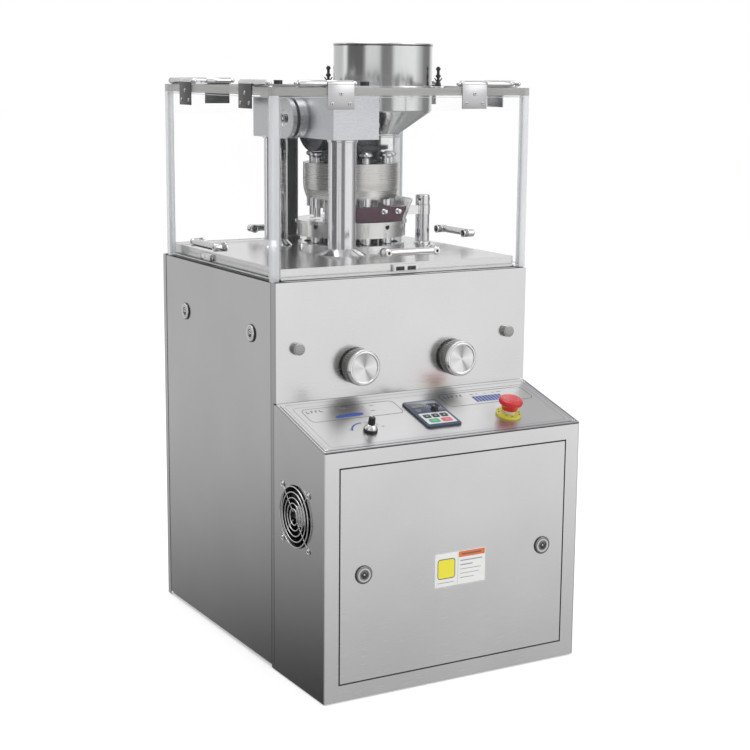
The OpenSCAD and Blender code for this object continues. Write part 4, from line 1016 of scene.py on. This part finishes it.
def catches():
    """Magnet catches on the table's front and left edges."""
    p = Piece("door_catches")
    p.at(T(-18, -133.2, 657.5) @ R(90, "X"))
    p.box((0, -6, 0), (46, 6, 6.5), WHITE, 0.8)
    p.box((4, -3.2, 6.3), (20, 3.2, 7.0), BLACK, 0.2)
    p.box((26, -3.2, 6.3), (42, 3.2, 7.0), BLACK, 0.2)
    p.at(T(-222.8, 150, 657.5) @ R(-90, "Y") @ R(90, "Z"))
    p.box((-20, -6, 0), (20, 6, 6.5), BRIGHT, 0.8)
    p.box((-14, -3, 6.3), (-2, 3, 6.9), WHITE, 0.2)
    p.box((3, -3, 6.3), (15, 3, 6.9), WHITE, 0.2)
    p.done("frame", "black_plastic")


def gap_shades_and_ledge():
    """Painted shade in the body's gaps: black strips round the electrical door, under the table's sides and
    behind the side panels' seams, and a grey strip on its front ledge.
    """
    p = Piece("black_gap_shade_strips")
    # Black frame behind the electrical door's gap: painted shade.
    y0, y1 = -314.0, -301.0
    for lo, hi in (((-213.9, y0, 28.1), (-212.0, y1, 379.9)), ((212.0, y0, 28.1), (213.9, y1, 379.9)),
                   ((-213.9, y0, 28.1), (213.9, y1, 30.0)), ((-213.9, y0, 378.0), (213.9, y1, 379.9))):
        p.box(lo, hi, BLACK_METAL_AND_SHADE)
    # Black strips under the table's left and right edges: painted shadow gap.
    for x0, x1 in ((-224.6, -222.9), (222.9, 224.6)):
        p.box((x0, -133.0, 647.6), (x1, 312.0, 650.5), BLACK_METAL_AND_SHADE, 0.3)
    # Black backing behind the upright seams of the side panels: painted shade in the seams
    for x0, x1 in ((-237.2, -236.2), (236.2, 237.2)):
        p.box((x0, -132.0, 9.0), (x1, -127.0, 645.0), BLACK_METAL_AND_SHADE)
        p.box((x0, 299.5, 9.0), (x1, 304.5, 645.0), BLACK_METAL_AND_SHADE)
    p.box((-222.0, -148.0, 647.55), (222.0, -134.0, 647.9), STRIP, 0.1)
    p.done("frame", "black_plastic")


def spout_lines():
    """Thin lines along the clear spout's rims, where its wall catches the light."""
    p = Piece("spout_lines")
    p.at(T(HOPPER_X, HOPPER_Y, 0))
    for r, z in ((33.1, 862.5), (33.1, 858.6), (17.6, 827.5), (17.6, 760.0), (17.6, 741.0)):
        p.lathe([(r, z - 0.5), (r, z + 0.5)], SPOUT_EDGE, 96)
    p.done("hopper", "clear_acrylic")


panel_graphics()
keypad()
speed_knob()
estop()
handwheel("filling_wheel", -93.5, "filling_handwheel")
handwheel("pressure_wheel", 93.5, "pressure_handwheel")
thumb_screws()
label_plate()
lock_faces()
fan()
vents_and_inlet()
head_details()
turret_details()
feeder()
hopper()
for side in SIDES:
    door_parts(side)
rail_hinges()
guard_bars()
catches()
gap_shades_and_ledge()
spout_lines()

# ---------------------------------------------------------------- floor, light and camera

scene = bpy.context.scene

floor_mesh = bpy.data.meshes.new("floor")
floor_bm = bmesh.new()
bmesh.ops.create_grid(floor_bm, x_segments=2, y_segments=2, size=30.0)
floor_bm.to_mesh(floor_mesh)
floor_bm.free()
floor = bpy.data.objects.new("floor", floor_mesh)
scene.collection.objects.link(floor)
floor_mat, _, floor_bsdf = node_mat("floor_pale")
floor_bsdf.inputs["Base Color"].default_value = (0.93, 0.93, 0.93, 1)
floor_bsdf.inputs["Roughness"].default_value = 0.9
floor_bsdf.inputs["Emission Color"].default_value = (1, 1, 1, 1)
floor_bsdf.inputs["Emission Strength"].default_value = 0.35
floor_mesh.materials.append(floor_mat)
floor.visible_glossy = False

# The studio: a world whose light changes with direction, white to the camera
world = bpy.data.worlds.new("studio")
scene.world = world
world.use_nodes = True
nt = world.node_tree
nt.nodes.clear()
sep = add(nt, "ShaderNodeSeparateXYZ")
nt.links.new(add(nt, "ShaderNodeTexCoord").outputs["Generated"], sep.inputs[0])
azimuth = whole_turn(nt, sep.outputs["Y"], sep.outputs["X"])


def by_azimuth(stops):
    return ramp(nt, azimuth, [((a + 180) / 360, grey(v)) for a, v in stops])


def by_height(lo, hi):
    """0 below height lo, 1 above hi, and a smooth step between."""
    r = add(nt, "ShaderNodeMapRange", interpolation_type="SMOOTHSTEP")
    r.inputs["From Min"].default_value = lo
    r.inputs["From Max"].default_value = hi
    nt.links.new(sep.outputs["Z"], r.inputs["Value"])
    return r.outputs["Result"]


# Walls of the studio by azimuth: (degrees from +X, brightness)
WALLS = [(-180, 0.14), (-165, 0.15), (-158, 0.85), (-128, 0.80), (-122, 0.22), (-100, 0.25), (-92, 0.95),
         (-40, 1.0), (-30, 0.75), (-8, 0.25), (15, 0.22), (30, 0.85), (70, 0.9), (84, 0.75), (100, 0.66),
         (133, 0.66), (137, 1.0), (147, 1.0), (151, 0.16), (179.9, 0.14)]
# Floor side by azimuth: bright in front, dark behind on the left
LOW = [(-180, 0.06), (-150, 0.20), (-120, 0.30), (-95, 0.38), (-60, 0.42), (-20, 0.25), (30, 0.20),
       (80, 0.05), (120, 0.0), (160, 0.02), (179.9, 0.06)]
floor_side = mixed(nt, by_height(-0.58, -0.42), grey(0.34), by_azimuth(LOW))
lower = mixed(nt, by_height(-0.40, -0.20), floor_side, by_azimuth(WALLS))
upper = mixed(nt, by_height(0.18, 0.45), lower, grey(0.72))
path = add(nt, "ShaderNodeLightPath")
shown = mixed(nt, path.outputs["Is Camera Ray"], upper, grey(1.0))
bg = add(nt, "ShaderNodeBackground")
nt.links.new(shown, bg.inputs["Color"])
bg.inputs["Strength"].default_value = 1.0
out = add(nt, "ShaderNodeOutputWorld")
nt.links.new(bg.outputs[0], out.inputs["Surface"])


def area(name, at, to, size, power):
    light = bpy.data.lights.new(name, "AREA")
    light.shape = "RECTANGLE"
    light.size, light.size_y = size
    light.energy = power
    o = bpy.data.objects.new(name, light)
    o.location = at
    o.rotation_euler = (Vector(to) - Vector(at)).to_track_quat("-Z", "Y").to_euler()
    o.visible_camera = False
    scene.collection.objects.link(o)


area("key_soft", (2.0, -2.6, 2.6), (0, 0, 0.6), (2.4, 2.4), 24)
area("top_soft", (-0.4, 0.4, 3.4), (0, 0, 0.7), (2.4, 2.4), 40)

cam_data = bpy.data.cameras.new("camera")
cam_data.lens = 77.08
cam_data.sensor_width = 36
cam = bpy.data.objects.new("camera", cam_data)
scene.collection.objects.link(cam)
yaw, pitch, roll = math.radians(29.767), math.radians(10.8275), math.radians(0.5053)
fwd = Vector((math.sin(yaw) * math.cos(pitch), math.cos(yaw) * math.cos(pitch), -math.sin(pitch)))
right = Vector((math.cos(yaw), -math.sin(yaw), 0))
up = right.cross(fwd)
r2 = right * math.cos(roll) + up * math.sin(roll)
u2 = -right * math.sin(roll) + up * math.cos(roll)
rot = Matrix((r2, u2, -fwd)).transposed().to_4x4()
cam.matrix_world = Matrix.Translation((-1.3522, -2.4123, 0.9829)) @ rot
scene.camera = cam

scene.view_settings.view_transform = "Standard"
scene.view_settings.look = "None"
